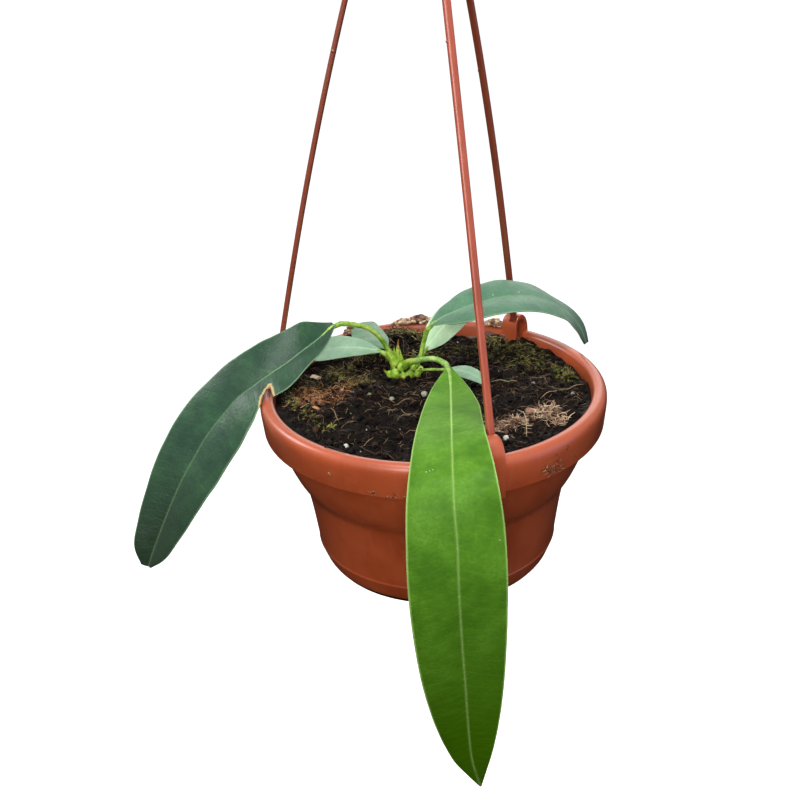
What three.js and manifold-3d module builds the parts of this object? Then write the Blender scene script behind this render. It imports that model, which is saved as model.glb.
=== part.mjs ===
// A strap-leaved anthurium in a hanging plastic pot.
// Millimetres, +Z up. The origin is the point where the hook bears on whatever it hangs from.
// Everything is built in the pot's own coordinates, with z = 0 at the crest of the rim and the pot's
// axis on Z, and the whole group is then lowered by the hanging height.

import * as THREE from 'three';
import { mergeVertices } from 'three/addons/utils/BufferGeometryUtils.js';
import Module from 'manifold-3d';

const wasm = await Module();
wasm.setup();

// Driving sizes

const HANG_HEIGHT = 365;
const CLEAR = 0.35;
const TURN = Math.PI * 2;

const RIM_RADIUS = 101;
const BAND_DEPTH = 20.7;
const POT_HEIGHT = 109.5;
const FLOOR_TOP = -104;
const POT_SEGMENTS = 40;
const DRAIN_HOLES = 4;
const DRAIN_RADIUS = 4;
const DRAIN_RING = 38;

// Each rod: where it stands round the rim, how far out its foot hangs, how far it bows out, and where
// its lug's open end is along the rim, since a foot may rest anywhere along its lug.
const RODS = [
  { name: 'hanger_rod_front', azimuth: -71, foot: 90.4, bow: 2.2, lugFrom: -7.2 },
  { name: 'hanger_rod_back', azimuth: 54.3, foot: 90.4, bow: 8.4, lugFrom: -3.2 },
  { name: 'hanger_rod_left', azimuth: 171, foot: 92.4, bow: 5.8, lugFrom: -5 },
];
const ROD_APEX = 325;
const ROD_APEX_RADIUS = 4;
const ROD_APEX_SHIFT = 0.7;
const ROD_BEND = 9;
const ROD_TOP = 310;
const ROD_HALF_WIDE = 2.1;
const ROD_HALF_DEEP = 1.5;
const BARB = 3.4;
const LUG_LENGTH = 10.6;
const LUG_END_WALL = 0.9;

const HUB_BOTTOM = 300;
const HUB_TOP = 326;
const HOOK_RADIUS = 17;
const HOOK_HALF_THICK = 2.5;
const HOOK_HALF_WIDE = 3.5;

const CROWN_X = -18;
const CROWN_Y = 32;

// Solids and meshes

function solid(geometry) {
  const bare = geometry.clone();
  bare.deleteAttribute('normal');
  bare.deleteAttribute('uv');
  const merged = mergeVertices(bare, 1e-4);
  const place = merged.getAttribute('position');
  const index = merged.getIndex();
  const corner = [new THREE.Vector3(), new THREE.Vector3(), new THREE.Vector3()];
  const triangles = [];
  let volume = 0;
  for (let i = 0; i < index.count; i += 3) {
    const ids = [index.getX(i), index.getX(i + 1), index.getX(i + 2)];
    if (new Set(ids).size < 3) continue;
    ids.forEach((id, k) => corner[k].fromBufferAttribute(place, id));
    volume += corner[0].dot(corner[1].clone().cross(corner[2]));
    triangles.push(ids);
  }
  if (volume < 0) triangles.forEach((ids) => ids.reverse());
  return new wasm.Manifold(new wasm.Mesh({
    numProp: 3,
    vertProperties: new Float32Array(place.array),
    triVerts: new Uint32Array(triangles.flat()),
  }));
}

function geometryOf(body) {
  const mesh = body.getMesh();
  const geometry = new THREE.BufferGeometry();
  geometry.setAttribute('position', new THREE.BufferAttribute(new Float32Array(mesh.vertProperties), 3));
  geometry.setIndex(new THREE.BufferAttribute(new Uint32Array(mesh.triVerts), 1));
  geometry.computeVertexNormals();
  return geometry;
}

const potPlastic = new THREE.MeshStandardMaterial({ color: 0xb5532f, roughness: 0.42 });
const rodPlastic = new THREE.MeshStandardMaterial({ color: 0xb0533c, roughness: 0.45 });
const peat = new THREE.MeshStandardMaterial({ color: 0x2c221a, roughness: 0.95 });
const mossGreen = new THREE.MeshStandardMaterial({ color: 0x5d6b2e, roughness: 0.95 });
const coirBrown = new THREE.MeshStandardMaterial({ color: 0x8c5a35, roughness: 0.9 });
const stemGreen = new THREE.MeshStandardMaterial({ color: 0x8fae3a, roughness: 0.5 });
const brightLeaf = new THREE.MeshStandardMaterial({ color: 0x5c9a38, roughness: 0.45 });
const darkLeaf = new THREE.MeshStandardMaterial({ color: 0x3f6b55, roughness: 0.4 });
const paleLeaf = new THREE.MeshStandardMaterial({ color: 0xa8cfa0, roughness: 0.5 });

const plant = new THREE.Group();

function addPiece(name, material, body) {
  const piece = new THREE.Mesh(geometryOf(body), material);
  piece.name = name;
  plant.add(piece);
}

// Skins a row of closed loops of equal length. Point j of a loop faces point (count - 1 - j), so a
// thin blade is split into triangles alike on both faces and its ends close as strips.
function loft(loops) {
  const around = loops[0].length;
  const half = around / 2;
  const last = (loops.length - 1) * around;
  const position = loops.flat().flatMap((p) => [p.x, p.y, p.z]);
  const index = [];
  for (let i = 0; i < loops.length - 1; i += 1) {
    for (let j = 0; j < around; j += 1) {
      const a = i * around + j;
      const b = i * around + (j + 1) % around;
      const c = a + around;
      const d = b + around;
      if (j < half) index.push(a, b, d, a, d, c);
      else index.push(a, b, c, b, d, c);
    }
  }
  for (let j = 0; j < half - 1; j += 1) {
    const k = around - 1 - j;
    index.push(j, k, k - 1, j, k - 1, j + 1);
    index.push(last + j, last + k - 1, last + k, last + j, last + j + 1, last + k - 1);
  }
  const geometry = new THREE.BufferGeometry();
  geometry.setAttribute('position', new THREE.Float32BufferAttribute(position, 3));
  geometry.setIndex(index);
  return solid(geometry);
}

// A round or flattened tube along a curve; radiusAt(share of length) gives [half width, half depth].
function tube(curve, steps, sides, radiusAt, from = 0) {
  const frames = curve.computeFrenetFrames(steps, false);
  const loops = [];
  for (let i = 0; i <= steps; i += 1) {
    const share = i / steps;
    const centre = curve.getPointAt(share);
    if (i === 0) centre.addScaledVector(frames.tangents[0], -from);
    const [wide, deep] = radiusAt(share);
    const loop = [];
    for (let j = 0; j < sides; j += 1) {
      const angle = ((j + 0.5) / sides) * TURN;
      loop.push(centre.clone()
        .addScaledVector(frames.normals[i], Math.cos(angle) * wide)
        .addScaledVector(frames.binormals[i], Math.sin(angle) * deep));
    }
    loops.push(loop);
  }
  return loft(loops);
}

function lathe(profile, segments = POT_SEGMENTS) {
  const geometry = new THREE.LatheGeometry(profile.map(([r, z]) => new THREE.Vector2(r, z)), segments);
  geometry.rotateX(Math.PI / 2);
  return solid(geometry);
}

function vector(p) {
  return new THREE.Vector3(...p);
}

function smooth(points) {
  return new THREE.CatmullRomCurve3(points.map(vector), false, 'catmullrom', 0.5);
}

function between(value, low, high) {
  return THREE.MathUtils.smoothstep(value, low, high);
}

// A seeded draw, so that what is scattered lies the same each time.
function seeded(seed) {
  let state = seed;
  return () => {
    state = (state * 16807) % 2147483647;
    return state / 2147483647;
  };
}

// Pot

// Outer wall from the foot up to the skirt, then the inner wall from the rim down to the floor.
const OUTER_WALL = [
  [59, -106.5], [61, -POT_HEIGHT], [65, -POT_HEIGHT], [68.8, -105], [72.4, -95.6], [72.1, -94.4],
  [75, -72], [77, -61], [78.6, -55], [83.2, -48.5], [88.6, -36], [94.2, -18],
];
const SKIRT = [
  [94.2, -5], [98, -5], [98.2, -BAND_DEPTH], [99.6, -BAND_DEPTH + 0.4],
  [RIM_RADIUS, -6], [100.4, -2.4], [98.4, -0.4], [95.8, 0], [92.9, -1.4],
];
const INNER_WALL = [
  [91.9, -6], [91, -20], [86.7, -36], [81.2, -48.5], [76.6, -55.5], [75.2, -61], [70.2, -94],
  [66.5, FLOOR_TOP],
];

function innerRadius(z) {
  const wall = [[92.9, -1.4], ...INNER_WALL];
  for (let i = 1; i < wall.length; i += 1) {
    const [upR, upZ] = wall[i - 1];
    const [downR, downZ] = wall[i];
    if (z >= downZ) return downR + (upR - downR) * Math.min(1, (z - downZ) / (upZ - downZ));
  }
  return wall[wall.length - 1][0];
}

function atLug(azimuth, along, out, z) {
  const angle = THREE.MathUtils.degToRad(azimuth);
  const cos = Math.cos(angle);
  const sin = Math.sin(angle);
  return new THREE.Vector3(out * cos - along * sin, out * sin + along * cos, z);
}

// A block whose outline is given as [distance out, height] and which runs along the rim at a lug.
function lugBlock(azimuth, outline, slices) {
  return loft(slices.map(([along, grow]) => outline.map(([out, z]) => {
    const rise = z > 0 ? z * grow : z;
    return atLug(azimuth, along, out, rise);
  })));
}

const HOOD = [
  [92, -18], [88, -12], [87.4, -4], [87.6, 4], [88.6, 8], [90.6, 10.4], [93.6, 11.2],
  [96.8, 10.4], [99.8, 7.4], [102, 2.6], [102.6, -5], [102.1, -22.4], [97.6, -22.4], [96.2, -19],
];
const POCKET = [
  [88.6, -15], [88.6, 4], [90.4, 8.2], [96.4, 8.2], [99.2, 4], [99.2, -15],
];

function lug(rod) {
  const end = rod.lugFrom + LUG_LENGTH;
  const slices = [[rod.lugFrom, 1], [end - 3, 1], [end - 1.2, 0.95], [end, 0.84]];
  return lugBlock(rod.azimuth, HOOD, slices);
}

function lugPocket(rod) {
  const mouth = rod.lugFrom - 2;
  const inside = lugBlock(rod.azimuth, POCKET, [[mouth, 1], [rod.lugFrom + LUG_LENGTH - LUG_END_WALL, 1]]);
  const slotHalf = ROD_HALF_DEEP + 0.4;
  const slotEnd = ROD_HALF_WIDE + 0.35;
  const slot = lugBlock(rod.azimuth, [
    [rod.foot - slotHalf, 2], [rod.foot - slotHalf, 14], [rod.foot + slotHalf, 14], [rod.foot + slotHalf, 2],
  ], [[-slotEnd, 1], [slotEnd, 1]]);
  return inside.add(slot);
}

function drainHole(step) {
  const geometry = new THREE.CylinderGeometry(DRAIN_RADIUS, DRAIN_RADIUS, 8, 12);
  geometry.rotateX(Math.PI / 2);
  const angle = ((step + 0.5) / DRAIN_HOLES) * TURN;
  geometry.translate(DRAIN_RING * Math.cos(angle), DRAIN_RING * Math.sin(angle), FLOOR_TOP - 1);
  return solid(geometry);
}

function potBody() {
  let body = lathe([[0, -106.5], ...OUTER_WALL, ...SKIRT, ...INNER_WALL, [0, FLOOR_TOP]]);
  RODS.forEach((rod) => { body = body.add(lug(rod)); });
  RODS.forEach((rod) => { body = body.subtract(lugPocket(rod)); });
  for (let step = 0; step < DRAIN_HOLES; step += 1) body = body.subtract(drainHole(step));
  return body;
}

// Hanger

function rodPath(rod) {
  const start = atLug(rod.azimuth, 0, rod.foot, ROD_BEND);
  const apex = atLug(rod.azimuth, 0, ROD_APEX_RADIUS, ROD_APEX);
  apex.x += ROD_APEX_SHIFT;
  const share = (ROD_TOP - ROD_BEND) / (ROD_APEX - ROD_BEND);
  const outward = atLug(rod.azimuth, 0, rod.bow, 0);
  const points = [
    atLug(rod.azimuth, 0, rod.foot, -6),
    atLug(rod.azimuth, 0, rod.foot, 1.5),
  ];
  const steps = 12;
  for (let i = 0; i <= steps; i += 1) {
    const s = (i / steps) * share;
    points.push(start.clone().lerp(apex, s).addScaledVector(outward, Math.sin(Math.PI * s)));
  }
  return points;
}

// The rod's section: a flat oval, wide along the rim and thin towards the pot's axis.
function rodBody(rod) {
  const path = rodPath(rod);
  const section = [
    [-0.55, -1], [0.55, -1], [1, -0.45], [1, 0.45], [0.55, 1], [-0.55, 1], [-1, 0.45], [-1, -0.45],
  ];
  const loops = path.map((p, i) => section.map(([a, b]) => {
    const spread = i === 0 ? 0.8 : 1;
    const shift = atLug(rod.azimuth, a * ROD_HALF_WIDE * spread, b * ROD_HALF_DEEP * spread, 0);
    return p.clone().add(shift);
  }));
  const barb = lugBlock(rod.azimuth, [
    [rod.foot, -2], [rod.foot, 7.85], [rod.foot + BARB, 7.85], [rod.foot + BARB, 5.5],
  ], [[-1.6, 1], [1.6, 1]]);
  return loft(loops).add(barb);
}

function rodSocket(rod) {
  const path = rodPath(rod);
  const top = path[path.length - 1];
  const below = path[path.length - 2];
  const axis = top.clone().sub(below).normalize();
  const foot = top.clone().addScaledVector(axis, -16);
  const head = top.clone().addScaledVector(axis, CLEAR);
  const loops = [foot, head].map((p) => [[-1, -1], [1, -1], [1, 1], [-1, 1]].map(([a, b]) => {
    const shift = atLug(rod.azimuth, a * (ROD_HALF_WIDE + CLEAR), b * (ROD_HALF_DEEP + CLEAR), 0);
    return p.clone().add(shift);
  }));
  return loft(loops);
}

function hookPath() {
  const centreZ = HANG_HEIGHT - HOOK_RADIUS + HOOK_HALF_THICK;
  const points = [[0, HUB_TOP - 4], [-1.5, HUB_TOP + 1.5], [-9, HUB_TOP + 7]];
  const arcSteps = 12;
  for (let i = 0; i <= arcSteps; i += 1) {
    const angle = THREE.MathUtils.degToRad(192 - (i / arcSteps) * 232);
    points.push([HOOK_RADIUS * Math.cos(angle), centreZ + HOOK_RADIUS * Math.sin(angle)]);
  }
  return points.map(([x, z]) => new THREE.Vector3(x, 0, z));
}

function hookBody() {
  const curve = new THREE.CatmullRomCurve3(hookPath(), false, 'centripetal');
  const steps = 22;
  const section = [[-1, -0.5], [-0.5, -1], [0.5, -1], [1, -0.5], [1, 0.5], [0.5, 1], [-0.5, 1], [-1, 0.5]];
  const loops = [];
  for (let i = 0; i <= steps; i += 1) {
    const centre = curve.getPointAt(i / steps);
    const along = curve.getTangentAt(i / steps);
    const side = new THREE.Vector3(0, 1, 0);
    const out = along.clone().cross(side);
    const taper = i === steps ? 0.6 : 1;
    loops.push(section.map(([a, b]) => centre.clone()
      .addScaledVector(side, a * HOOK_HALF_WIDE * taper)
      .addScaledVector(out, b * HOOK_HALF_THICK * taper)));
  }
  const hub = lathe([
    [0, HUB_BOTTOM], [13, HUB_BOTTOM], [14.5, HUB_BOTTOM + 1.5], [14.5, HUB_BOTTOM + 9],
    [12, HUB_BOTTOM + 13], [6.5, HUB_TOP - 5], [5, HUB_TOP], [0, HUB_TOP],
  ], 18);
  let body = hub.add(loft(loops));
  RODS.forEach((rod) => { body = body.subtract(rodSocket(rod)); });
  return body;
}

// Leaves
// A leaf has a stalk through the points of `stalk` and a blade through the rows of `blade`. A row is
// [x, y, z of the midrib, left width, right width, left lift, right lift]; a lift is the angle in
// degrees by which that half rises from the level line through the midrib. `left` points to the left
// half for someone looking along the leaf with its upper face up.

const LEAVES = {
  leaf_front: {
    material: brightLeaf,
    left: [1, 0, 0],
    stalkRadius: 1.75,
    stalk: [
      [-16, 28, 0], [-13, 22.5, 3.6], [-9.4, 18, 6.4], [-4.5, 14, 9],
      [0.5, 10.5, 10.8], [5, 7, 10.8], [8.4, 4.5, 9.4],
    ],
    blade: [
      [10, 2, 8, 1.6, 1.6, 4, 6], [10.3, -14, 5.5, 8.6, 8.9, 0, 2], [10, -40, 6, 15, 14.6, 0, -2],
      [9.6, -62, 7.6, 16.3, 17.4, 2, -4], [9.4, -76, 8.6, 16.9, 18.8, 9, -4], [9.3, -83, 9, 17.3, 19.4, 12, -4],
      [9.1, -92, 9.2, 18.1, 20, 12, -4], [9, -104, 7.8, 19.5, 21, 10, -4], [8.8, -120, 3.5, 21.7, 22.3, 3, -4],
      [9, -129.5, -9, 24, 24, -8, -4], [10, -134, -26, 24.8, 25.4, -12, -2],
      [10.3, -136, -51, 25.4, 25.6, -12, 0],
      [11.3, -134, -83, 24.2, 24.6, -12, 4], [12.8, -130, -116, 21.6, 22.2, -13, 6],
      [14.2, -124, -150, 16.8, 17, -6, 2], [16.3, -118.5, -178, 10.2, 10.3, 0, -4],
      [21, -112, -203.5, 0.5, 0.5, 0, -4],
    ],
  },
  leaf_left: {
    material: darkLeaf,
    left: [0, -1, 0],
    stalkRadius: 1.8,
    stalk: [
      [-20.5, 31, -2], [-23, 31, 2.5], [-25.7, 31, 7], [-28.8, 30, 14],
      [-33.8, 28, 21.4], [-40, 26, 26.2], [-47.6, 23, 29.2], [-53, 21.4, 30.4],
    ],
    blade: [
      [-57, 20, 30.4, 1.8, 1.8, -20, 60], [-65.9, 12, 24.9, 8.2, 13, -24, 76],
      [-74.6, 6, 20.5, 12.3, 15.6, -25, 74],
      [-84.3, 1, 14.7, 15.4, 18.4, -25, 64], [-92.1, -2.5, 11, 18.3, 19.8, -25, 55],
      [-97.2, -4.5, 8.1, 17.2, 21, -26, 51],
      [-103.8, -7, 4.2, 15.6, 22, -26, 47], [-112.7, -9.5, -1.6, 21.5, 22.4, -32, 46],
      [-124, -12.2, -13.4, 23.8, 23.6, -41, 50], [-133, -15, -24, 23.4, 23.4, -48, 54],
      [-141, -18, -36, 22.4, 22.5, -52, 59], [-148, -21, -47, 21, 21, -53, 62],
      [-156, -24, -62, 18.2, 18.4, -55, 68],
      [-164, -27, -79, 14.2, 15.4, -55, 76], [-170.3, -29, -93, 9.6, 12, -54, 84],
      [-174, -30, -102.5, 2, 4.6, -54, 88],
    ],
    tear: [[-93.2, -9], [-97.8, -15], [-98.6, -22], [-98.6, -40], [-88.6, -40], [-89.4, -20], [-91.3, -14]],
  },
  leaf_low_left: {
    material: darkLeaf,
    left: [0, -1, 0],
    stalkRadius: 1.5,
    stalk: [[-23, 35, -3], [-26, 36.5, 0.5], [-29, 38, 3.2]],
    blade: [
      [-31, 38.6, 4.2, 1.4, 1.4, -10, 10], [-40, 40, 5.6, 6, 6, -14, 18], [-50, 41.6, 6.2, 9, 9, -16, 22],
      [-61, 42, 5.4, 10.4, 10.4, -16, 22], [-71, 40, 4, 9, 9, -14, 18], [-79, 36.5, 3.2, 5.4, 5.4, -8, 10],
      [-84.5, 33, 3.4, 0.6, 0.6, 0, 0],
    ],
  },
  leaf_back_left: {
    material: darkLeaf,
    left: [-1, -0.4, 0],
    stalkRadius: 1.6,
    stalk: [[-20, 36.5, -4], [-23, 40, -0.6], [-26, 44, 1.8]],
    blade: [
      [-28, 46, 2.8, 1.4, 1.4, 0, 0], [-32, 54, 4, 8, 6, 4, 0], [-36.5, 64, 4, 11.6, 8, 4, 0],
      [-41, 75, 3.4, 12, 9, 2, 0], [-45, 84.5, 3, 11.4, 9.6, 0, 0], [-48.5, 92, 0.8, 11.4, 10, -2, -2],
      [-51.5, 99, -5, 11, 10.4, -4, -4], [-54, 104.5, -13, 10.6, 10.2, -4, -4], [-56, 108, -24, 9.2, 9, -4, -4],
      [-57.3, 109.6, -37, 6.6, 6.6, 0, 0], [-58, 110, -49, 3, 3, 0, 0], [-58.3, 110, -56, 0.5, 0.5, 0, 0],
    ],
  },
  leaf_back_right: {
    material: darkLeaf,
    left: [0, 1, 0],
    stalkRadius: 1.5,
    stalk: [[-11, 30.5, -6], [-9, 31, -1], [-6.5, 32, 4], [-4.3, 33, 13], [-2.2, 33, 19.8]],
    blade: [
      [0, 32, 23.4, 1.6, 1.5, 18, -8], [8, 33, 28, 9.1, 8.9, 18, -10], [15, 33, 31, 13, 13, 17, -14],
      [24, 34, 34, 16.1, 16.1, 17, -12], [38, 36, 37, 18, 18, 16, -9], [48, 38, 37.6, 18, 18, 13, -9],
      [61, 40.5, 36, 16, 16, 8, -10], [73, 43, 31, 13, 13, 3, -11], [83, 46, 23.6, 9, 9, 4, -14],
      [91, 48, 13, 5, 4.6, 30, -36], [95.6, 49, 1.2, 1.8, 1.6, 60, -62],
    ],
  },
  leaf_young: {
    material: paleLeaf,
    left: [-0.6, 0.6, 0.4],
    stalkRadius: 1.4,
    stalk: [[-12, 36.5, -6], [-8.5, 39, -3], [-5, 41.5, 0.6]],
    blade: [
      [-3.4, 42.8, 2.6, 1.3, 1.3, 0, 0], [2, 46.6, 8.6, 7.6, 7.6, 6, 6], [8.4, 50.4, 15, 10, 10, 8, 8],
      [15.4, 54, 20.6, 10, 10, 8, 8], [23, 57.4, 25.4, 7.8, 7.8, 6, 6], [30, 60, 28.4, 4, 4, 4, 4],
      [35, 61.4, 30, 0.5, 0.5, 0, 0],
    ],
  },
  leaf_small: {
    material: darkLeaf,
    left: [0.5, 0.8, 0],
    stalkRadius: 0.9,
    stalk: [[-9, 29, -5], [-4.2, 28, -4.2], [1.5, 24.5, -2.6], [7.2, 20, -0.8]],
    blade: [
      [9.4, 18, 0, 1, 1, 20, -20], [13.8, 13.8, 1.4, 3.4, 3.4, 24, -24], [19.4, 9.6, 2.2, 4.4, 4.4, 26, -26],
      [25, 4.4, 1.8, 4, 4, 26, -26], [29.4, -0.6, 0.4, 2.4, 2.4, 22, -22],
      [32.2, -4.2, -1.2, 0.5, 0.5, 18, -18],
    ],
  },
};

const BLADE_COLUMNS = [-1, -0.62, -0.2, 0, 0.2, 0.62, 1];
const BLADE_HALF_THICK = 0.42;
const BLADE_ARCH = 0.16;
const RIB_END = 0.8;

function bladeCurves(leaf) {
  return {
    rib: smooth(leaf.blade.map((row) => row.slice(0, 3))),
    width: smooth(leaf.blade.map((row) => [row[3], row[4], 0])),
    lift: smooth(leaf.blade.map((row) => [row[5], row[6], 0])),
    left: vector(leaf.left),
  };
}

// The blade's cross section at share t: middle, the upper normal there, and each half's direction,
// width and own normal.
function bladeSection(leaf, curves, t) {
  const middle = curves.rib.getPoint(t);
  const along = curves.rib.getTangent(t);
  const across = curves.left.clone().addScaledVector(along, -curves.left.dot(along)).normalize();
  const upper = along.clone().cross(across);
  const width = curves.width.getPoint(t);
  const lift = curves.lift.getPoint(t).multiplyScalar(Math.PI / 180);
  const halves = [
    { width: Math.max(0.4, width.x), sign: 1, lift: lift.x },
    { width: Math.max(0.4, width.y), sign: -1, lift: lift.y },
  ].map((h) => ({
    width: h.width,
    out: across.clone().multiplyScalar(h.sign * Math.cos(h.lift)).addScaledVector(upper, Math.sin(h.lift)),
    normal: upper.clone().multiplyScalar(Math.cos(h.lift)).addScaledVector(across, -h.sign * Math.sin(h.lift)),
  }));
  const normal = halves[0].normal.clone().add(halves[1].normal).normalize();
  return { middle, normal, halves };
}

function bladePoint(section, column) {
  const half = section.halves[column < 0 ? 0 : 1];
  const share = Math.abs(column);
  const normal = section.normal.clone().lerp(half.normal, between(share, 0, 0.4)).normalize();
  const place = section.middle.clone()
    .addScaledVector(half.out, share * half.width)
    .addScaledVector(half.normal, BLADE_ARCH * half.width * share * (1 - share));
  return { place, normal };
}

function bladeBody(leaf) {
  const curves = bladeCurves(leaf);
  const steps = Math.min(26, Math.round(curves.rib.getLength() / 6));
  const loops = [];
  for (let i = 0; i <= steps; i += 1) {
    const section = bladeSection(leaf, curves, curves.rib.getUtoTmapping(i / steps));
    const points = BLADE_COLUMNS.map((column) => bladePoint(section, column));
    const top = points.map((p) => p.place.clone().addScaledVector(p.normal, BLADE_HALF_THICK));
    const under = points.map((p) => p.place.clone().addScaledVector(p.normal, -BLADE_HALF_THICK));
    loops.push([...top, ...under.reverse()]);
  }
  return loft(loops);
}

// A prism that stands through a blade where the rim has torn it.
function tearBody(outline) {
  const geometry = new THREE.ExtrudeGeometry(
    new THREE.Shape(outline.map(([x, y]) => new THREE.Vector2(x, y))),
    { depth: 24, bevelEnabled: false },
  );
  geometry.translate(0, 0, -15.5);
  return solid(geometry);
}

// The stalk runs on under the blade as its midrib, thinning towards the tip.
function stalkCurve(leaf) {
  const curves = bladeCurves(leaf);
  const points = leaf.stalk.map(vector);
  const stalkLength = new THREE.CatmullRomCurve3(points, false, 'centripetal').getLength();
  const ribSteps = 12;
  for (let i = 0; i <= ribSteps; i += 1) {
    const share = (i / ribSteps) * RIB_END;
    const section = bladeSection(leaf, curves, share);
    const radius = ribRadius(leaf, i / ribSteps);
    points.push(section.middle.clone().addScaledVector(section.normal, -radius * Math.min(1, i / 2)));
  }
  return { curve: new THREE.CatmullRomCurve3(points, false, 'centripetal'), stalkLength };
}

function ribRadius(leaf, share) {
  return THREE.MathUtils.lerp(leaf.stalkRadius * 0.85, 0.5, Math.sqrt(share));
}

function stalkBody(leaf, grow) {
  const { curve, stalkLength } = stalkCurve(leaf);
  const total = curve.getLength();
  const steps = Math.round(THREE.MathUtils.clamp(total / 9, 12, 28));
  return tube(curve, steps, 6, (share) => {
    const walked = share * total;
    const along = THREE.MathUtils.clamp((walked - stalkLength) / (total - stalkLength), 0, 1);
    const radius = along > 0 ? ribRadius(leaf, along) : leaf.stalkRadius;
    return [radius + grow, radius + grow];
  }, grow);
}

function leafBody(leaf) {
  const blade = leaf.tear ? bladeBody(leaf).subtract(tearBody(leaf.tear)) : bladeBody(leaf);
  return stalkBody(leaf, 0).add(blade);
}

// Crown

function lump(centre, radii, detail = 1) {
  const geometry = new THREE.IcosahedronGeometry(1, detail);
  geometry.scale(...radii);
  geometry.translate(...centre);
  return solid(geometry);
}

function sheath(foot, tip, radius) {
  const curve = new THREE.LineCurve3(vector(foot), vector(tip));
  return tube(curve, 3, 6, (share) => {
    const r = radius * Math.max(0.12, 1 - share ** 1.4);
    return [r, r];
  });
}

function crownLumps(grow) {
  const stem = new THREE.CylinderGeometry(6.2 + grow, 5.4 + grow, 24 + grow, 12);
  stem.rotateX(Math.PI / 2);
  stem.translate(CROWN_X, CROWN_Y, -18 - grow / 2);
  return solid(stem)
    .add(lump([CROWN_X - 1.5, CROWN_Y, -4], [7.8 + grow, 7.2 + grow, 6.6 + grow]))
    .add(lump([CROWN_X + 6, CROWN_Y - 2.5, -4.5], [4.8 + grow, 4.8 + grow, 4.2 + grow]))
    .add(lump([CROWN_X + 3, CROWN_Y + 4, -4], [6.6 + grow, 5 + grow, 4.6 + grow]));
}

function crownBody() {
  let body = crownLumps(0)
    .add(sheath([CROWN_X - 1.8, CROWN_Y + 1, -1], [CROWN_X - 2.4, CROWN_Y + 1.8, 13.6], 3.2))
    .add(sheath([CROWN_X - 5, CROWN_Y - 2, -4], [CROWN_X - 5.6, CROWN_Y - 3, 5], 2.4))
    .add(sheath([CROWN_X + 7.4, CROWN_Y - 4, -5], [CROWN_X + 11.8, CROWN_Y - 6, -2], 2.2));
  Object.values(LEAVES).forEach((leaf) => { body = body.subtract(stalkBody(leaf, CLEAR)); });
  return body.decompose().sort((a, b) => b.volume() - a.volume())[0];
}

// Soil

const SOIL_SEGMENTS = POT_SEGMENTS;
const SOIL_RINGS = [0.97, 0.9, 0.8, 0.69, 0.58, 0.46, 0.33, 0.18];

function soilHeight(x, y) {
  const fall = between(y, -60, 70);
  const heap = 8.5 * Math.exp(-(((x + 27) / 26) ** 2) - (((y - 84) / 16) ** 2));
  const leftHeap = 3.5 * Math.exp(-(((x + 74) / 18) ** 2) - (((y + 22) / 26) ** 2));
  const rightHeap = 3.6 * Math.exp(-(((x - 66) / 30) ** 2) - (((y - 52) / 26) ** 2));
  const wallHeap = 4.4 * Math.exp(-(((x - 56) / 22) ** 2) - (((y - 80) / 15) ** 2));
  const clods = 0.9 * Math.sin(x * 0.21 + 1.3) * Math.sin(y * 0.19 + 0.4)
    + 0.6 * Math.sin(x * 0.47 + y * 0.33) * Math.sin(y * 0.41 - x * 0.23 + 2);
  return -4.2 - 5.6 * fall + heap + leftHeap + rightHeap + wallHeap + clods;
}

function soilBase() {
  const rows = [];
  const wall = INNER_WALL.filter(([, z]) => z < -15).reverse();
  wall.forEach(([r, z]) => rows.push(() => [r - CLEAR, z === FLOOR_TOP ? z + CLEAR : z]));
  const edgeHeight = (angle) => soilHeight(90 * Math.cos(angle), 90 * Math.sin(angle));
  const edgeRadius = (angle) => Math.min(91.7, innerRadius(edgeHeight(angle))) - CLEAR;
  rows.push((angle) => [edgeRadius(angle), edgeHeight(angle)]);
  SOIL_RINGS.forEach((share) => rows.push((angle) => {
    const r = edgeRadius(angle) * share;
    return [r, soilHeight(r * Math.cos(angle), r * Math.sin(angle))];
  }));
  const position = [0, 0, FLOOR_TOP + CLEAR];
  rows.forEach((row) => {
    for (let j = 0; j < SOIL_SEGMENTS; j += 1) {
      const angle = (j / SOIL_SEGMENTS) * TURN;
      const [r, z] = row(angle);
      position.push(r * Math.cos(angle), r * Math.sin(angle), z);
    }
  });
  position.push(0, 0, soilHeight(0, 0));
  const index = [];
  const id = (row, j) => 1 + row * SOIL_SEGMENTS + (j % SOIL_SEGMENTS);
  const top = 1 + rows.length * SOIL_SEGMENTS;
  for (let j = 0; j < SOIL_SEGMENTS; j += 1) {
    index.push(0, id(0, j + 1), id(0, j));
    index.push(top, id(rows.length - 1, j), id(rows.length - 1, j + 1));
    for (let row = 0; row < rows.length - 1; row += 1) {
      const a = id(row, j);
      const b = id(row, j + 1);
      const c = id(row + 1, j);
      const d = id(row + 1, j + 1);
      index.push(a, b, d, a, d, c);
    }
  }
  const geometry = new THREE.BufferGeometry();
  geometry.setAttribute('position', new THREE.Float32BufferAttribute(position, 3));
  geometry.setIndex(index);
  return solid(geometry);
}

// Feed beads, perlite and bark, half sunk in the peat. The first are where they can be seen.
const BEADS = [
  [-51, -74, 1.9], [-22, 2, 2.1], [0.5, 5, 2], [-34, 7, 1.7], [45, 26, 2], [80, 34, 1.8],
  [38, -78, 2.3], [26, -30, 1.8], [60, -10, 1.6], [-62, -44, 1.8],
];
const BEAD_COUNT = 18;

function beads() {
  const draw = seeded(41);
  const places = [...BEADS];
  while (places.length < BEAD_COUNT) {
    const angle = draw() * TURN;
    const reach = 84 * Math.sqrt(draw());
    const place = [reach * Math.cos(angle), reach * Math.sin(angle), 1.3 + draw() * 0.8];
    if (clearOfOthers(place[0], place[1])) places.push(place);
  }
  return places.map(([x, y, r]) => lump([x, y, soilHeight(x, y) + r * 0.35], [r, r, r], 0));
}

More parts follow.
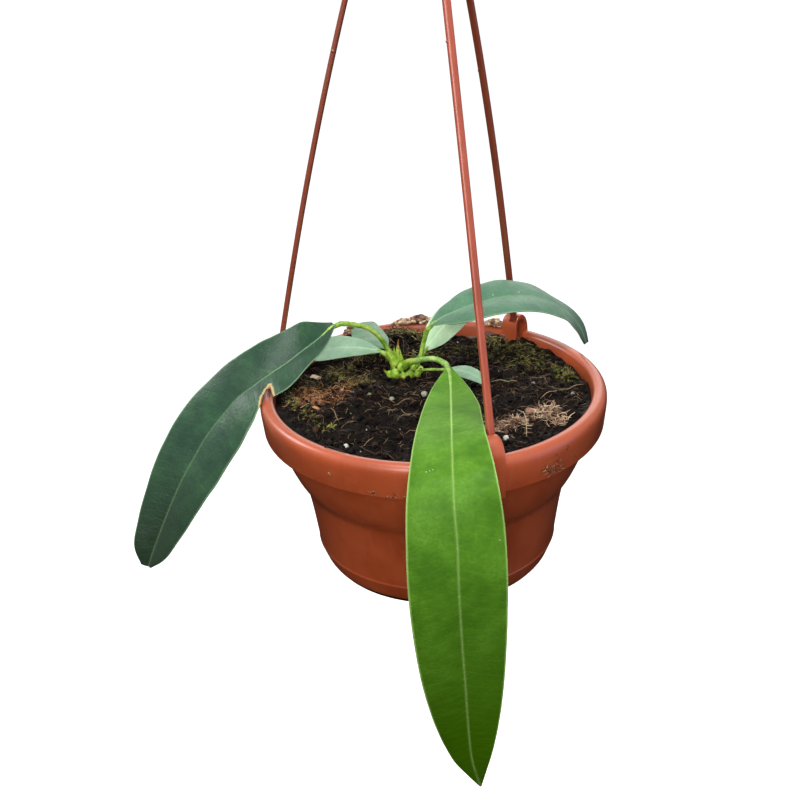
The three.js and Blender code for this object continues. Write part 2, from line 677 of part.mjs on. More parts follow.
function clearOfOthers(x, y) {
  const taken = [[CROWN_X, CROWN_Y], ...Object.values(CUSHIONS).map((spec) => spec.at)];
  return taken.every((at) => Math.hypot(x - at[0], y - at[1]) > 24);
}

function chips() {
  const draw = seeded(7);
  const list = [];
  for (let i = 0; i < 18; i += 1) {
    const angle = draw() * TURN;
    const reach = 30 + 52 * draw();
    const size = 2 + 2.4 * draw();
    const geometry = new THREE.BoxGeometry(size * 1.8, size, 1.8);
    geometry.rotateX((draw() - 0.5) * 0.7);
    geometry.rotateY((draw() - 0.5) * 0.7);
    geometry.rotateZ(draw() * TURN);
    const x = reach * Math.cos(angle);
    const y = reach * Math.sin(angle);
    geometry.translate(x, y, soilHeight(x, y) + 0.5);
    if (clearOfOthers(x, y)) list.push(solid(geometry));
  }
  return list;
}

// What lies on the soil in its own colour: [x, y], half length, half width, turn and rise in mm.
const CUSHIONS = {
  moss_left: { material: mossGreen, at: [-74, -15], long: 22, wide: 9.5, turn: 98, rise: 3 },
  moss_back: { material: mossGreen, at: [48, 52], long: 20, wide: 10, turn: -38, rise: 2.6 },
  coir_left: { material: coirBrown, at: [-51, -25], long: 16, wide: 11, turn: -50, rise: 3.4 },
  coir_front: { material: coirBrown, at: [49, -60], long: 12, wide: 6, turn: 38, rise: 3 },
  coir_right: { material: coirBrown, at: [67, -33], long: 13, wide: 6, turn: 40, rise: 3 },
  crust_back: { material: coirBrown, at: [-26, 80], long: 14, wide: 5, turn: 14, rise: 2.6 },
};
const CUSHION_SPOKES = 12;
const CUSHION_RINGS = [1, 0.82, 0.42];

// A cushion is a low dome draped over the soil: its underside follows the soil a little above it.
function cushion(spec) {
  const turn = THREE.MathUtils.degToRad(spec.turn);
  const place = (ring, spoke, lifted) => {
    const angle = (spoke / CUSHION_SPOKES) * TURN;
    const ragged = 1 + 0.12 * Math.sin(3 * angle + spec.long) + 0.07 * Math.sin(5 * angle + spec.wide);
    const u = Math.cos(angle) * spec.long * ragged * ring;
    const v = Math.sin(angle) * spec.wide * ragged * ring;
    const x = spec.at[0] + u * Math.cos(turn) - v * Math.sin(turn);
    const y = spec.at[1] + u * Math.sin(turn) + v * Math.cos(turn);
    const tuft = 1 + 0.2 * Math.sin(x * 1.1 + spec.turn) * Math.sin(y * 0.9);
    const rise = lifted ? spec.rise * tuft * (1 - ring ** 2) + 0.5 : 0;
    return new THREE.Vector3(x, y, soilHeight(x, y) + 1 + rise);
  };
  const position = [];
  const index = [];
  const underRows = [...CUSHION_RINGS].reverse().map((ring) => [ring, false]);
  const rows = [...underRows, ...CUSHION_RINGS.map((ring) => [ring, true])];
  position.push(place(0, 0, false));
  rows.forEach(([ring, lifted]) => {
    for (let j = 0; j < CUSHION_SPOKES; j += 1) position.push(place(ring, j, lifted));
  });
  position.push(place(0, 0, true));
  const id = (row, j) => 1 + row * CUSHION_SPOKES + (j % CUSHION_SPOKES);
  for (let j = 0; j < CUSHION_SPOKES; j += 1) {
    index.push(0, id(0, j + 1), id(0, j));
    index.push(position.length - 1, id(rows.length - 1, j), id(rows.length - 1, j + 1));
    for (let row = 0; row < rows.length - 1; row += 1) {
      index.push(id(row, j), id(row, j + 1), id(row + 1, j + 1));
      index.push(id(row, j), id(row + 1, j + 1), id(row + 1, j));
    }
  }
  const geometry = new THREE.BufferGeometry();
  geometry.setAttribute('position', new THREE.Float32BufferAttribute(position.flatMap((p) => p.toArray()), 3));
  geometry.setIndex(index);
  return solid(geometry);
}

function soilBody() {
  let body = wasm.Manifold.union([soilBase(), ...beads(), ...chips()]);
  body = body.subtract(crownLumps(CLEAR));
  RODS.forEach((rod) => {
    const ends = [[rod.lugFrom - 2.5, 1], [rod.lugFrom + LUG_LENGTH + 0.8, 1]];
    body = body.subtract(lugBlock(rod.azimuth, [[86.4, -19], [86.4, 30], [104, 30], [104, -19]], ends));
  });
  return body.decompose().sort((a, b) => b.volume() - a.volume())[0];
}

// Assembly

addPiece('pot', potPlastic, potBody());
addPiece('hanger_hook', rodPlastic, hookBody());
RODS.forEach((rod) => addPiece(rod.name, rodPlastic, rodBody(rod)));
addPiece('soil', peat, soilBody());
Object.entries(CUSHIONS).forEach(([name, spec]) => addPiece(name, spec.material, cushion(spec)));
addPiece('crown', stemGreen, crownBody());
Object.entries(LEAVES).forEach(([name, leaf]) => addPiece(name, leaf.material, leafBody(leaf)));

plant.position.z = -HANG_HEIGHT;

const whole = new THREE.Group();
whole.add(plant);

export default whole;
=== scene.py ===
import math
import random

import bmesh
import bpy
from mathutils import Matrix, Vector, noise


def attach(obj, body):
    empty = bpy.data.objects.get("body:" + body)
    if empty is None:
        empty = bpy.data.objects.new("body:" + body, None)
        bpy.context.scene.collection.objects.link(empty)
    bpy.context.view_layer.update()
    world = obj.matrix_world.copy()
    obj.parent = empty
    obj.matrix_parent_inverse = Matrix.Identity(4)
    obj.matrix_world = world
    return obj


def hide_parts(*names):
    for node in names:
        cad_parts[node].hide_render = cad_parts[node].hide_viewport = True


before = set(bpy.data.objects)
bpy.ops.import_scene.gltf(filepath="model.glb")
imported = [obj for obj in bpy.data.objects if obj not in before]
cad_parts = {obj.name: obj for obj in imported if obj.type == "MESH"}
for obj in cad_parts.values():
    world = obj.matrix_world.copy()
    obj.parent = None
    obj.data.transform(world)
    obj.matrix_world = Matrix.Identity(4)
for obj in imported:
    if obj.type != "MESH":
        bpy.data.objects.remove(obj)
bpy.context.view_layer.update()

# Everything is worked out in pot millimetres: z = 0 at the crest of the rim, the pot's axis on z.
# The hook's bearing point, which is the frame's origin, is HANG_HEIGHT above the crest.

MM = 0.001
# A random heading's range in radians
FULL_TURN = 6.28
HANG_HEIGHT = 365.0

BAND_DEPTH = 20.7
POT_HEIGHT = 109.5
FLOOR_TOP = -104.0

# Where each rod stands round the rim, how far out its foot is, how far it bows out, where its lug's
# open end is along the rim, and how high on the rod its nub is
RODS = {
    "front": {"azimuth": -71, "foot": 90.4, "bow": 2.2, "lug": -7.2, "nub": 199.9},
    "back": {"azimuth": 54.3, "foot": 90.4, "bow": 8.4, "lug": -3.2, "nub": 171.0},
    "left": {"azimuth": 171, "foot": 92.4, "bow": 5.8, "lug": -5.0, "nub": 191.6},
}
ROD_APEX = 325.0
ROD_APEX_RADIUS = 4.0
ROD_APEX_SHIFT = 0.7
ROD_BEND = 9.0
ROD_TOP = 310.0
ROD_HALF_WIDE = 2.1
ROD_HALF_DEEP = 1.5
BARB = 3.35
LUG_LENGTH = 10.6
LUG_END_WALL = 0.9

HUB_BOTTOM = 300.0
HUB_TOP = 326.0
HOOK_RADIUS = 17.0
HOOK_HALF_THICK = 2.5
HOOK_HALF_WIDE = 3.5

CROWN = Vector((-18.0, 32.0, 0.0))

# The camera, at the photograph's angle: where it stands and which way it looks

CAMERA_LENS = 54.0
CAMERA_PLACE = Vector((0.0, -0.634804, 0.297364 - HANG_HEIGHT * MM))
CAMERA_RIGHT = Vector((0.99922, 0.01216, -0.03768))
CAMERA_UP = Vector((0.02859, 0.43686, 0.89908))


def place_camera():
    lens = bpy.data.cameras.new("camera")
    lens.lens = CAMERA_LENS
    lens.sensor_width = 36.0
    camera = bpy.data.objects.new("camera", lens)
    right = CAMERA_RIGHT.normalized()
    back = right.cross(CAMERA_UP).normalized()
    up = back.cross(right)
    camera.matrix_world = Matrix.Translation(CAMERA_PLACE) @ Matrix((right, up, back)).transposed().to_4x4()
    bpy.context.scene.collection.objects.link(camera)
    bpy.context.scene.camera = camera


# Shapes and pieces

class Shape:
    """Points in pot millimetres with a tint each, and faces with the number of their material."""

    def __init__(self):
        self.points = []
        self.tints = []
        self.lamina = []
        self.faces = []
        self.skins = []

    def add(self, points, faces, tint=0.5, skin=0, lamina=None):
        start = len(self.points)
        self.points += points
        self.tints += tint if isinstance(tint, list) else [tint] * len(points)
        self.lamina += lamina or [(0.0, 0.0, 0.0)] * len(points)
        self.faces += [[corner + start for corner in face] for face in faces]
        self.skins += [skin] * len(faces)


def object_of(name, shape, materials):
    """A mesh object of a shape, in metres and in the frame's place."""
    mesh = bpy.data.meshes.new(name)
    mesh.from_pydata([(x * MM, y * MM, (z - HANG_HEIGHT) * MM) for x, y, z in shape.points], [], shape.faces)
    for material in materials:
        mesh.materials.append(material)
    mesh.polygons.foreach_set("material_index", shape.skins)
    mesh.polygons.foreach_set("use_smooth", [True] * len(shape.faces))
    mesh.attributes.new("tint", "FLOAT", "POINT").data.foreach_set("value", shape.tints)
    flat = [value for place in shape.lamina for value in place]
    mesh.attributes.new("lamina", "FLOAT_VECTOR", "POINT").data.foreach_set("vector", flat)
    made = bpy.data.objects.new(name, mesh)
    bpy.context.scene.collection.objects.link(made)
    return made


def face_outward(made):
    work = bmesh.new()
    work.from_mesh(made.data)
    bmesh.ops.recalc_face_normals(work, faces=work.faces)
    work.to_mesh(made.data)
    work.free()


def settle(made):
    """Applies an object's modifiers to its mesh."""
    bpy.context.view_layer.update()
    graph = bpy.context.evaluated_depsgraph_get()
    mesh = bpy.data.meshes.new_from_object(
        made.evaluated_get(graph), preserve_all_data_layers=True, depsgraph=graph
    )
    made.modifiers.clear()
    made.data = mesh


def ride_as(made, slot, *nodes):
    """The piece rides with the part's one body and stands for CAD nodes, whose parts it hides; slot is not
    used.
    """
    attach(made, "root")
    if nodes:
        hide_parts(*nodes)
    return made


def piece(name, shape, materials, slot, *nodes):
    made = object_of(name, shape, materials)
    face_outward(made)
    return ride_as(made, slot, *nodes)


def around(radius, angle, z=0.0):
    """The place at a radius and an angle round the pot's axis."""
    return (radius * math.cos(angle), radius * math.sin(angle), z)


def bridged(rows):
    """Faces between neighbouring loops of point numbers; a loop may be one point over and over."""
    faces = []
    for low, high in zip(rows, rows[1:]):
        for j in range(len(low)):
            k = (j + 1) % len(low)
            corners = [low[j], low[k], high[k], high[j]]
            face = [c for n, c in enumerate(corners) if c not in corners[:n]]
            if len(face) > 2:
                faces.append(face)
    return faces


def skinned(rings):
    """Points and faces of a tube through rings of equal count, closed at both ends."""
    count = len(rings[0])
    points = [tuple(p) for ring in rings for p in ring]
    faces = bridged([range(i * count, (i + 1) * count) for i in range(len(rings))])
    faces.append(tuple(range(count - 1, -1, -1)))
    faces.append(tuple(range(len(points) - count, len(points))))
    return points, faces


def round_tube(path, radii, sides):
    """A round tube along a path, with a radius for each of its points."""
    along = (path[1] - path[0]).normalized()
    side = along.orthogonal().normalized()
    rings = []
    for i, place in enumerate(path):
        ahead = (path[min(i + 1, len(path) - 1)] - path[max(i - 1, 0)]).normalized()
        side = (side - side.dot(ahead) * ahead).normalized()
        other = ahead.cross(side)
        ring = []
        for j in range(sides):
            angle = 2 * math.pi * j / sides
            ring.append(place + (side * math.cos(angle) + other * math.sin(angle)) * radii[i])
        rings.append(ring)
    return skinned(rings)


def swept(path, wide, deep, half_wide, half_deep, sides=20, power=3.2):
    """A bar with a rounded flat section; wide and deep give the section's two directions at each point."""
    rings = []
    for i, place in enumerate(path):
        ring = []
        for j in range(sides):
            angle = 2 * math.pi * (j + 0.5) / sides
            cos, sin = math.cos(angle), math.sin(angle)
            reach = (abs(cos) ** power + abs(sin) ** power) ** (-1 / power)
            across = wide[i] * (cos * reach * half_wide[i])
            ring.append(place + across + deep[i] * (sin * reach * half_deep[i]))
        rings.append(ring)
    return skinned(rings)


def filleted(corners, steps=4):
    """An outline of [x, y, fillet] corners with each corner rounded by its fillet."""
    outline = []
    last = len(corners) - 1
    for i, (x, y, fillet) in enumerate(corners):
        here = Vector((x, y))
        if i in (0, last) or fillet == 0:
            outline.append(here)
            continue
        before = Vector(corners[i - 1][:2]) - here
        after = Vector(corners[i + 1][:2]) - here
        start = here + before.normalized() * min(fillet, before.length * 0.46)
        end = here + after.normalized() * min(fillet, after.length * 0.46)
        for k in range(steps + 1):
            s = k / steps
            outline.append(start * (1 - s) ** 2 + here * (2 * s * (1 - s)) + end * s ** 2)
    return outline


def turned(outline, segments):
    """Points and faces of an outline of (radius, height) turned round the axis; its ends lie on the axis."""
    points = []
    rows = []
    for radius, height in outline:
        if radius < 1e-6:
            rows.append([len(points)] * segments)
            points.append((0.0, 0.0, height))
            continue
        rows.append(list(range(len(points), len(points) + segments)))
        points += [around(radius, 2 * math.pi * j / segments, height) for j in range(segments)]
    return points, bridged(rows)


def knot_value(rows, t):
    """The value at share t of a smooth curve through evenly spaced rows of numbers."""
    last = len(rows) - 1
    place = min(max(t, 0.0), 1.0) * last
    i = min(int(place), last - 1)
    w = place - i
    before = rows[i - 1] if i else [2 * a - b for a, b in zip(rows[0], rows[1])]
    after = rows[i + 2] if i + 2 <= last else [2 * a - b for a, b in zip(rows[last], rows[last - 1])]
    value = []
    for a, b, c, d in zip(before, rows[i], rows[i + 1], after):
        leave = (c - a) / 2
        arrive = (d - b) / 2
        square = 3 * (c - b) - 2 * leave - arrive
        cube = 2 * (b - c) + leave + arrive
        value.append(b + leave * w + square * w ** 2 + cube * w ** 3)
    return value


def smooth_path(rows, count):
    return [Vector(knot_value(rows, i / (count - 1))) for i in range(count)]


def ease(value, low, high):
    share = min(max((value - low) / (high - low), 0.0), 1.0)
    return share * share * (3 - 2 * share)


# Materials

def linear(code):
    """An sRGB hex colour as linear red, green, blue and alpha."""
    channels = [int(code[i:i + 2], 16) / 255 for i in (1, 3, 5)]
    lit = [c / 12.92 if c <= 0.04045 else ((c + 0.055) / 1.055) ** 2.4 for c in channels]
    return (*lit, 1.0)


def add(tree, kind, inputs=None, stops=None, **settings):
    """Adds a node: its settings, its inputs' values or what feeds them, and a ramp's stops. A node feeds
    another by its first output in use, unless one of its outputs is named."""
    made = tree.nodes.new("ShaderNode" + kind)
    for name, value in settings.items():
        setattr(made, name, value)
    for name, value in (inputs or {}).items():
        if isinstance(value, bpy.types.Node):
            value = next(output for output in value.outputs if output.enabled)
        if isinstance(value, bpy.types.NodeSocket):
            tree.links.new(value, made.inputs[name])
        else:
            made.inputs[name].default_value = linear(value) if isinstance(value, str) else value
    if stops:
        ramp = made.color_ramp
        ramp.elements.remove(ramp.elements[1])
        ramp.elements[0].position = stops[0][0]
        ramp.elements[0].color = linear(stops[0][1])
        for place, colour in stops[1:]:
            ramp.elements.new(place).color = linear(colour)
    return made


def per(size):
    """The texture scale that gives a pattern of this size in millimetres."""
    return 1 / (size * MM)


def new_finish(name):
    """A new material, its empty node tree, and the place on the object that its patterns start from."""
    material = bpy.data.materials.new(name)
    material.use_nodes = True
    material.node_tree.nodes.clear()
    return material, material.node_tree, add(material.node_tree, "TexCoord").outputs["Object"]


def close_finish(material, colour, roughness, relief, depth, **shader):
    """Ends a finish: relief is a height from 0 to 1, which stands for depth in millimetres."""
    tree = material.node_tree
    bump = add(tree, "Bump", {"Height": relief, "Distance": depth * MM, "Strength": 1.0})
    constants = {name.replace("_", " "): value for name, value in shader.items()}
    skin = add(tree, "BsdfPrincipled", {
        "Base Color": colour, "Roughness": roughness, "Normal": bump, **constants,
    })
    add(tree, "OutputMaterial", {"Surface": skin})
    return material


BLACK, WHITE = "#000000", "#ffffff"

# The heights between which the foot's lower edge is painted black, as painted shade under the foot
FOOT_SHADE_TOP, FOOT_SHADE_FULL = -104.8, -106.2


def moulded_polypropylene(name, body, pale, deep, soiled):
    """Injection-moulded polypropylene: an even satin skin with faint flow lines down it, a slight orange
    peel, scuffs that have gone pale, painted shade that blackens the foot's lower edge, and soiled gives how
    much dried splash lies on it."""
    material, tree, place = new_finish(name)
    cloud = add(tree, "TexNoise", {"Vector": place, "Scale": per(30), "Detail": 3.0})
    colour = add(tree, "ValToRGB", {"Fac": cloud}, [(0.3, deep), (0.52, body), (0.78, body)])
    lines = add(tree, "Mapping", {"Vector": place, "Scale": (1.0, 1.0, 0.035)})
    flow = add(tree, "TexNoise", {"Vector": lines, "Scale": per(3.2), "Detail": 2.0})
    flow_share = add(tree, "ValToRGB", {"Fac": flow}, [(0.56, BLACK), (0.74, "#5a5a5a")])
    scuff = add(tree, "TexNoise", {"Vector": place, "Scale": per(5.5), "Detail": 5.0, "Roughness": 0.7})
    scuff_share = add(tree, "ValToRGB", {"Fac": scuff}, [(0.6, BLACK), (0.72, "#606060")])
    drops = add(tree, "TexVoronoi", {"Vector": place, "Scale": per(4.4), "Randomness": 1.0})
    drop_share = add(tree, "ValToRGB", {"Fac": drops}, [(0.06, WHITE), (0.13, BLACK)])
    drawn = add(tree, "SeparateColor", {"Color": drops.outputs["Color"]})
    kept = add(tree, "Math", {0: drawn.outputs["Red"], 1: soiled}, operation="LESS_THAN")
    splash = add(tree, "Math", {0: drop_share, 1: kept}, operation="MULTIPLY")
    height = add(tree, "SeparateXYZ", {"Vector": place})
    # Painted shade: the foot's lowest edge goes near black, standing for the shadow under the pot
    foot_shade = add(tree, "MapRange", {
        "Value": height.outputs["Z"], "From Min": (FOOT_SHADE_TOP - HANG_HEIGHT) * MM,
        "From Max": (FOOT_SHADE_FULL - HANG_HEIGHT) * MM,
    })
    for share, over in (flow_share, pale), (scuff_share, pale), (splash, "#6b5040"), (foot_shade, "#120805"):
        colour = add(tree, "Mix", {0: share, 6: colour, 7: over}, data_type="RGBA")
    peel = add(tree, "TexNoise", {"Vector": place, "Scale": per(1.6), "Detail": 2.0})
    relief = add(tree, "Mix", {0: 0.35, 2: peel, 3: flow}, data_type="FLOAT")
    rough = add(tree, "MapRange", {"Value": scuff, "To Min": 0.33, "To Max": 0.5})
    return close_finish(
        material, colour, rough, relief, 0.05,
        IOR=1.49, Coat_Weight=1.0, Coat_Roughness=0.3,
    )


def damp_peat(name, dark, brown, pale):
    """Damp peat: brown on the crumbs and painted near black as shade in the hollows between them, with pale
    specks of fibre and a rough, broken surface that shines only where it is wet."""
    material, tree, place = new_finish(name)
    tint = add(tree, "Attribute", attribute_name="tint").outputs["Fac"]
    crumb = add(tree, "TexNoise", {"Vector": place, "Scale": per(2.6), "Detail": 6.0, "Roughness": 0.75})
    patch = add(tree, "TexNoise", {"Vector": place, "Scale": per(22), "Detail": 2.0})
    mixed = add(tree, "Mix", {0: 0.4, 2: crumb, 3: patch}, data_type="FLOAT")
    shifted = add(tree, "Math", {0: tint, 1: 0.9, 2: -0.45}, operation="MULTIPLY_ADD")
    level = add(tree, "Math", {0: mixed, 1: shifted}, operation="ADD")
    # Painted shade: the colour follows the crumb relief, so its hollows go near black
    colour = add(tree, "ValToRGB", {"Fac": level}, [
        (0.3, dark), (0.52, brown), (0.66, brown), (0.92, pale),
    ])
    wet = add(tree, "ValToRGB", {"Fac": patch}, [(0.38, "#9a9a9a"), (0.6, "#f0f0f0")])
    return close_finish(
        material, colour, wet, crumb, 0.5,
        IOR=1.4, Specular_IOR_Level=0.15,
    )


def plant_fibre(name, dark, middle, pale):
    """Dry plant fibre, such as coir and straw: matt, streaked along itself, each strand its own shade."""
    material, tree, place = new_finish(name)
    tint = add(tree, "Attribute", attribute_name="tint").outputs["Fac"]
    streak = add(tree, "TexNoise", {"Vector": place, "Scale": per(0.9), "Detail": 3.0})
    shifted = add(tree, "Math", {0: streak, 1: 0.5, 2: -0.25}, operation="MULTIPLY_ADD")
    level = add(tree, "Math", {0: tint, 1: shifted}, operation="ADD")
    colour = add(tree, "ValToRGB", {"Fac": level}, [(0.1, dark), (0.5, middle), (0.95, pale)])
    rough = add(tree, "MapRange", {"Value": streak, "To Min": 0.6, "To Max": 0.95})
    return close_finish(material, colour, rough, streak, 0.08, IOR=1.45)


def mineral(name, dark, pale):
    """Perlite and coated feed prills: dull off-white grains with pits and a little algae."""
    material, tree, place = new_finish(name)
    tint = add(tree, "Attribute", attribute_name="tint").outputs["Fac"]
    pits = add(tree, "TexNoise", {"Vector": place, "Scale": per(0.8), "Detail": 4.0})
    level = add(tree, "Mix", {0: 0.65, 2: pits, 3: tint}, data_type="FLOAT")
    colour = add(tree, "ValToRGB", {"Fac": level}, [(0.25, dark), (0.75, pale)])
    rough = add(tree, "MapRange", {"Value": pits, "To Min": 0.5, "To Max": 0.8})
    return close_finish(material, colour, rough, pits, 0.12, IOR=1.5)


def living_moss(name, deep, middle, tip):
    """Cushion moss: soft matt leaflets, dark where they are old and yellow-green at the tips."""
    material, tree, place = new_finish(name)
    tint = add(tree, "Attribute", attribute_name="tint").outputs["Fac"]
    patch = add(tree, "TexNoise", {"Vector": place, "Scale": per(7), "Detail": 3.0})
    shifted = add(tree, "Math", {0: patch, 1: 0.8, 2: -0.4}, operation="MULTIPLY_ADD")
    level = add(tree, "Math", {0: tint, 1: shifted}, operation="ADD")
    colour = add(tree, "ValToRGB", {"Fac": level}, [(0.05, deep), (0.5, middle), (0.95, tip)])
    grain = add(tree, "TexNoise", {"Vector": place, "Scale": per(0.7), "Detail": 2.0})
    rough = add(tree, "MapRange", {"Value": grain, "To Min": 0.6, "To Max": 0.9})
    return close_finish(material, colour, rough, grain, 0.1, IOR=1.4)


# How far apart a leaf's side veins are, how far they wander, and how far back they slant from the rib
VEIN_SPACING = 5.2
VEIN_WANDER = 9.0
VEIN_SLANT = -0.42


def leaf_skin(name, deep, body, fresh, vein, tip, shade_span, sheen, gloss, shine):
    """A leaf's face: leathery and satin, mottled by the fine net of its smallest veins, with side veins that
    hardly show, a pale midrib, and painted shade that deepens the blade towards its hanging tip over a
    stretch given in millimetres along; torn edges dry out to straw and brown. The net is drawn about twice as
    coarse as it is, so that it shows."""
    material, tree, place = new_finish(name)
    lamina = add(tree, "Attribute", attribute_name="lamina").outputs["Vector"]
    torn = add(tree, "Attribute", attribute_name="tint").outputs["Fac"]
    parts = add(tree, "SeparateXYZ", {"Vector": lamina})
    across = add(tree, "Math", {0: parts.outputs["X"]}, operation="ABSOLUTE")
    cloud = add(tree, "TexNoise", {"Vector": place, "Scale": per(16), "Detail": 3.0, "Roughness": 0.6})
    net = add(tree, "TexVoronoi", {"Vector": place, "Scale": per(1.5)}, feature="SMOOTH_F1")
    grain = add(tree, "TexNoise", {"Vector": place, "Scale": per(2.2), "Detail": 4.0, "Roughness": 0.65})
    colour = add(tree, "ValToRGB", {"Fac": cloud}, [(0.34, deep), (0.5, body), (0.7, fresh)])
    fine = add(tree, "Mix", {0: 0.5, 2: net, 3: grain}, data_type="FLOAT")
    fine_share = add(tree, "MapRange", {"Value": fine, "From Min": 0.3, "From Max": 0.62, "To Max": 0.5})
    bend = add(tree, "Math", {0: across, 1: VEIN_SLANT}, operation="MULTIPLY")
    line_place = add(tree, "Math", {0: parts.outputs["Y"], 1: bend}, operation="ADD")
    wander = add(tree, "Math", {0: cloud, 1: VEIN_WANDER, 2: line_place}, operation="MULTIPLY_ADD")
    turns = add(tree, "Math", {0: wander, 1: 2 * math.pi / VEIN_SPACING}, operation="MULTIPLY")
    wave = add(tree, "Math", {0: turns}, operation="SINE")
    side_vein = add(tree, "MapRange", {"Value": wave, "From Min": 0.72, "From Max": 1.0})
    side_share = add(tree, "Math", {0: side_vein, 1: 0.02}, operation="MULTIPLY")
    # Painted shade: the blade darkens towards its hanging tip
    tip_shade_share = add(tree, "MapRange", {"Value": parts.outputs["Y"], "From Min": shade_span[0], "From Max": shade_span[1]})
    middle = add(tree, "MapRange", {"Value": across, "From Min": 1.1, "From Max": 0.2, "To Max": 0.25})
    edge = add(tree, "MapRange", {
        "Value": parts.outputs["Z"], "From Min": 0.95, "From Max": 0.99, "To Max": 0.7,
    })
    dry = add(tree, "ValToRGB", {"Fac": torn}, [(0.3, "#a9a878"), (0.7, "#c4a262"), (1.0, "#94643a")])
    dry_share = add(tree, "MapRange", {"Value": torn, "From Min": 0.12, "From Max": 0.5})
    for share, over in (
        (fine_share, deep), (tip_shade_share, tip), (side_share, vein), (middle, vein), (edge, vein),
        (dry_share, dry),
    ):
        colour = add(tree, "Mix", {0: share, 6: colour, 7: over}, data_type="RGBA")
    pucker = add(tree, "Math", {0: side_vein, 1: -0.16, 2: fine}, operation="MULTIPLY_ADD")
    rough = add(tree, "MapRange", {"Value": grain, "To Min": gloss - 0.06, "To Max": gloss + 0.1})
    return close_finish(
        material, colour, rough, pucker, 0.22,
        IOR=1.45, Specular_IOR_Level=shine, Sheen_Weight=sheen, Sheen_Roughness=0.5,
    )


def green_stem(name, shade, body, light, scar):
    """Young stem and stalk: smooth waxy yellow-green, lighter in streaks along it, with brown scars and
    painted shade, dark green in the crevices between the buds."""
    material, tree, place = new_finish(name)
    cloud = add(tree, "TexNoise", {"Vector": place, "Scale": per(5), "Detail": 3.0})
    streak = add(tree, "TexNoise", {"Vector": place, "Scale": per(1.4), "Detail": 2.0})
    level = add(tree, "Mix", {0: 0.35, 2: cloud, 3: streak}, data_type="FLOAT")
    colour = add(tree, "ValToRGB", {"Fac": level}, [(0.36, shade), (0.5, body), (0.66, light)])
    spots = add(tree, "TexNoise", {"Vector": place, "Scale": per(3), "Detail": 4.0, "Roughness": 0.7})
    tint = add(tree, "Attribute", attribute_name="tint").outputs["Fac"]
    spot_level = add(tree, "Math", {0: tint, 1: 0.5, 2: spots}, operation="MULTIPLY_ADD")
    spot_share = add(tree, "MapRange", {"Value": spot_level, "From Min": 0.72, "From Max": 0.86})
    # Painted shade: the depth of each crevice darkens the stem to dark green
    crevice_shade = add(tree, "Attribute", attribute_name="crevice_shade").outputs["Fac"]
    for share, over in (spot_share, scar), (crevice_shade, "#1a2e08"):
        colour = add(tree, "Mix", {0: share, 6: colour, 7: over}, data_type="RGBA")
    rough = add(tree, "MapRange", {"Value": streak, "To Min": 0.3, "To Max": 0.5})
    return close_finish(material, colour, rough, streak, 0.12, IOR=1.45)


def painted_backdrop(name):
    """A lit white studio floor: matt acrylic with a lamp under it, which leaves the background pale."""
    material, tree, place = new_finish(name)
    cloud = add(tree, "TexNoise", {"Vector": place, "Scale": 1.5, "Detail": 2.0})
    colour = add(tree, "ValToRGB", {"Fac": cloud}, [(0.2, "#f8f8f6"), (0.8, "#fbfbfa")])
    return close_finish(
        material, colour, 0.9, cloud, 0.01,
        Emission_Color="#ffffff", Emission_Strength=0.7,
    )


pot_skin = moulded_polypropylene("pot_polypropylene_satin", "#b4512b", "#cf8468", "#a2441f", 0.1)
hook_skin = moulded_polypropylene("hook_polypropylene_satin", "#a94a2c", "#c98467", "#964024", 0.0)
# The rods are one moulding of one plastic. Painted light and shade: the front rod is coloured lighter as lit,
# the back and left rods darker as shaded
rod_skins = {
    "front": moulded_polypropylene("front_rod_polypropylene_painted_light", "#ae4c30", "#c07258", "#9e4429", 0.0),
    "back": moulded_polypropylene("back_rod_polypropylene_painted_shade", "#843b24", "#a8664c", "#74301a", 0.0),
    "left": moulded_polypropylene("left_rod_polypropylene_painted_shade", "#8c4028", "#b07056", "#7a341e", 0.0),
}
peat = damp_peat("damp_peat", "#030202", "#130c08", "#4a3322")
dark_fibre = plant_fibre("root_and_peat_fibre", "#1c120b", "#4e3623", "#a88c6a")
coir_fibre = plant_fibre("coir_fibre_orange_brown", "#33190c", "#824c2c", "#cf9c68")
tan_fibre = plant_fibre("dry_sphagnum_tan", "#3a2418", "#98705a", "#e2c8a4")
straw = plant_fibre("dry_straw", "#5e4c34", "#9c8662", "#d2c19c")
prill = mineral("perlite_and_feed_prills", "#6a7050", "#cccbbd")
moss = living_moss("cushion_moss", "#141708", "#3c3e16", "#8c8a3a")
moss_strand = plant_fibre("curled_moss_olive", "#17140a", "#544826", "#b4a868")
weed = plant_fibre("dark_green_hairs", "#0a110d", "#1c3226", "#4c6a4c")
# The fifth colour of each leaf finish is painted shade, which darkens the blade towards its tip over the
# stretch after it
bright_face = leaf_skin(
    "leaf_front_face", "#44721a", "#568722", "#65982e", "#b0d078", "#3a6200", (160, 290), 0.0, 0.46, 0.12,
)
bright_edge = leaf_skin(
    "leaf_front_margin", "#93b85c", "#acc878", "#c2d694", "#d4e0a8", "#7da03c", (150, 290), 0.0, 0.5, 0.3,
)
bright_under = leaf_skin(
    "leaf_front_underside", "#5d8a34", "#729e44", "#86b258", "#b8d890", "#5a8430", (150, 290), 0.1, 0.5, 0.4,
)
dark_face = leaf_skin(
    "dark_leaf_face", "#173a26", "#23492f", "#2f5a34", "#6f9468", "#142c14", (110, 190), 0.25, 0.38, 0.5,
)
dark_edge = leaf_skin(
    "dark_leaf_margin", "#50704f", "#64845e", "#7c9a70", "#9db68c", "#3c5838", (110, 190), 0.0, 0.45, 0.5,
)
dark_under = leaf_skin(
    "dark_leaf_underside", "#3f6248", "#52765a", "#64886a", "#a4bf98", "#34523a", (110, 190), 0.2, 0.5, 0.5,
)
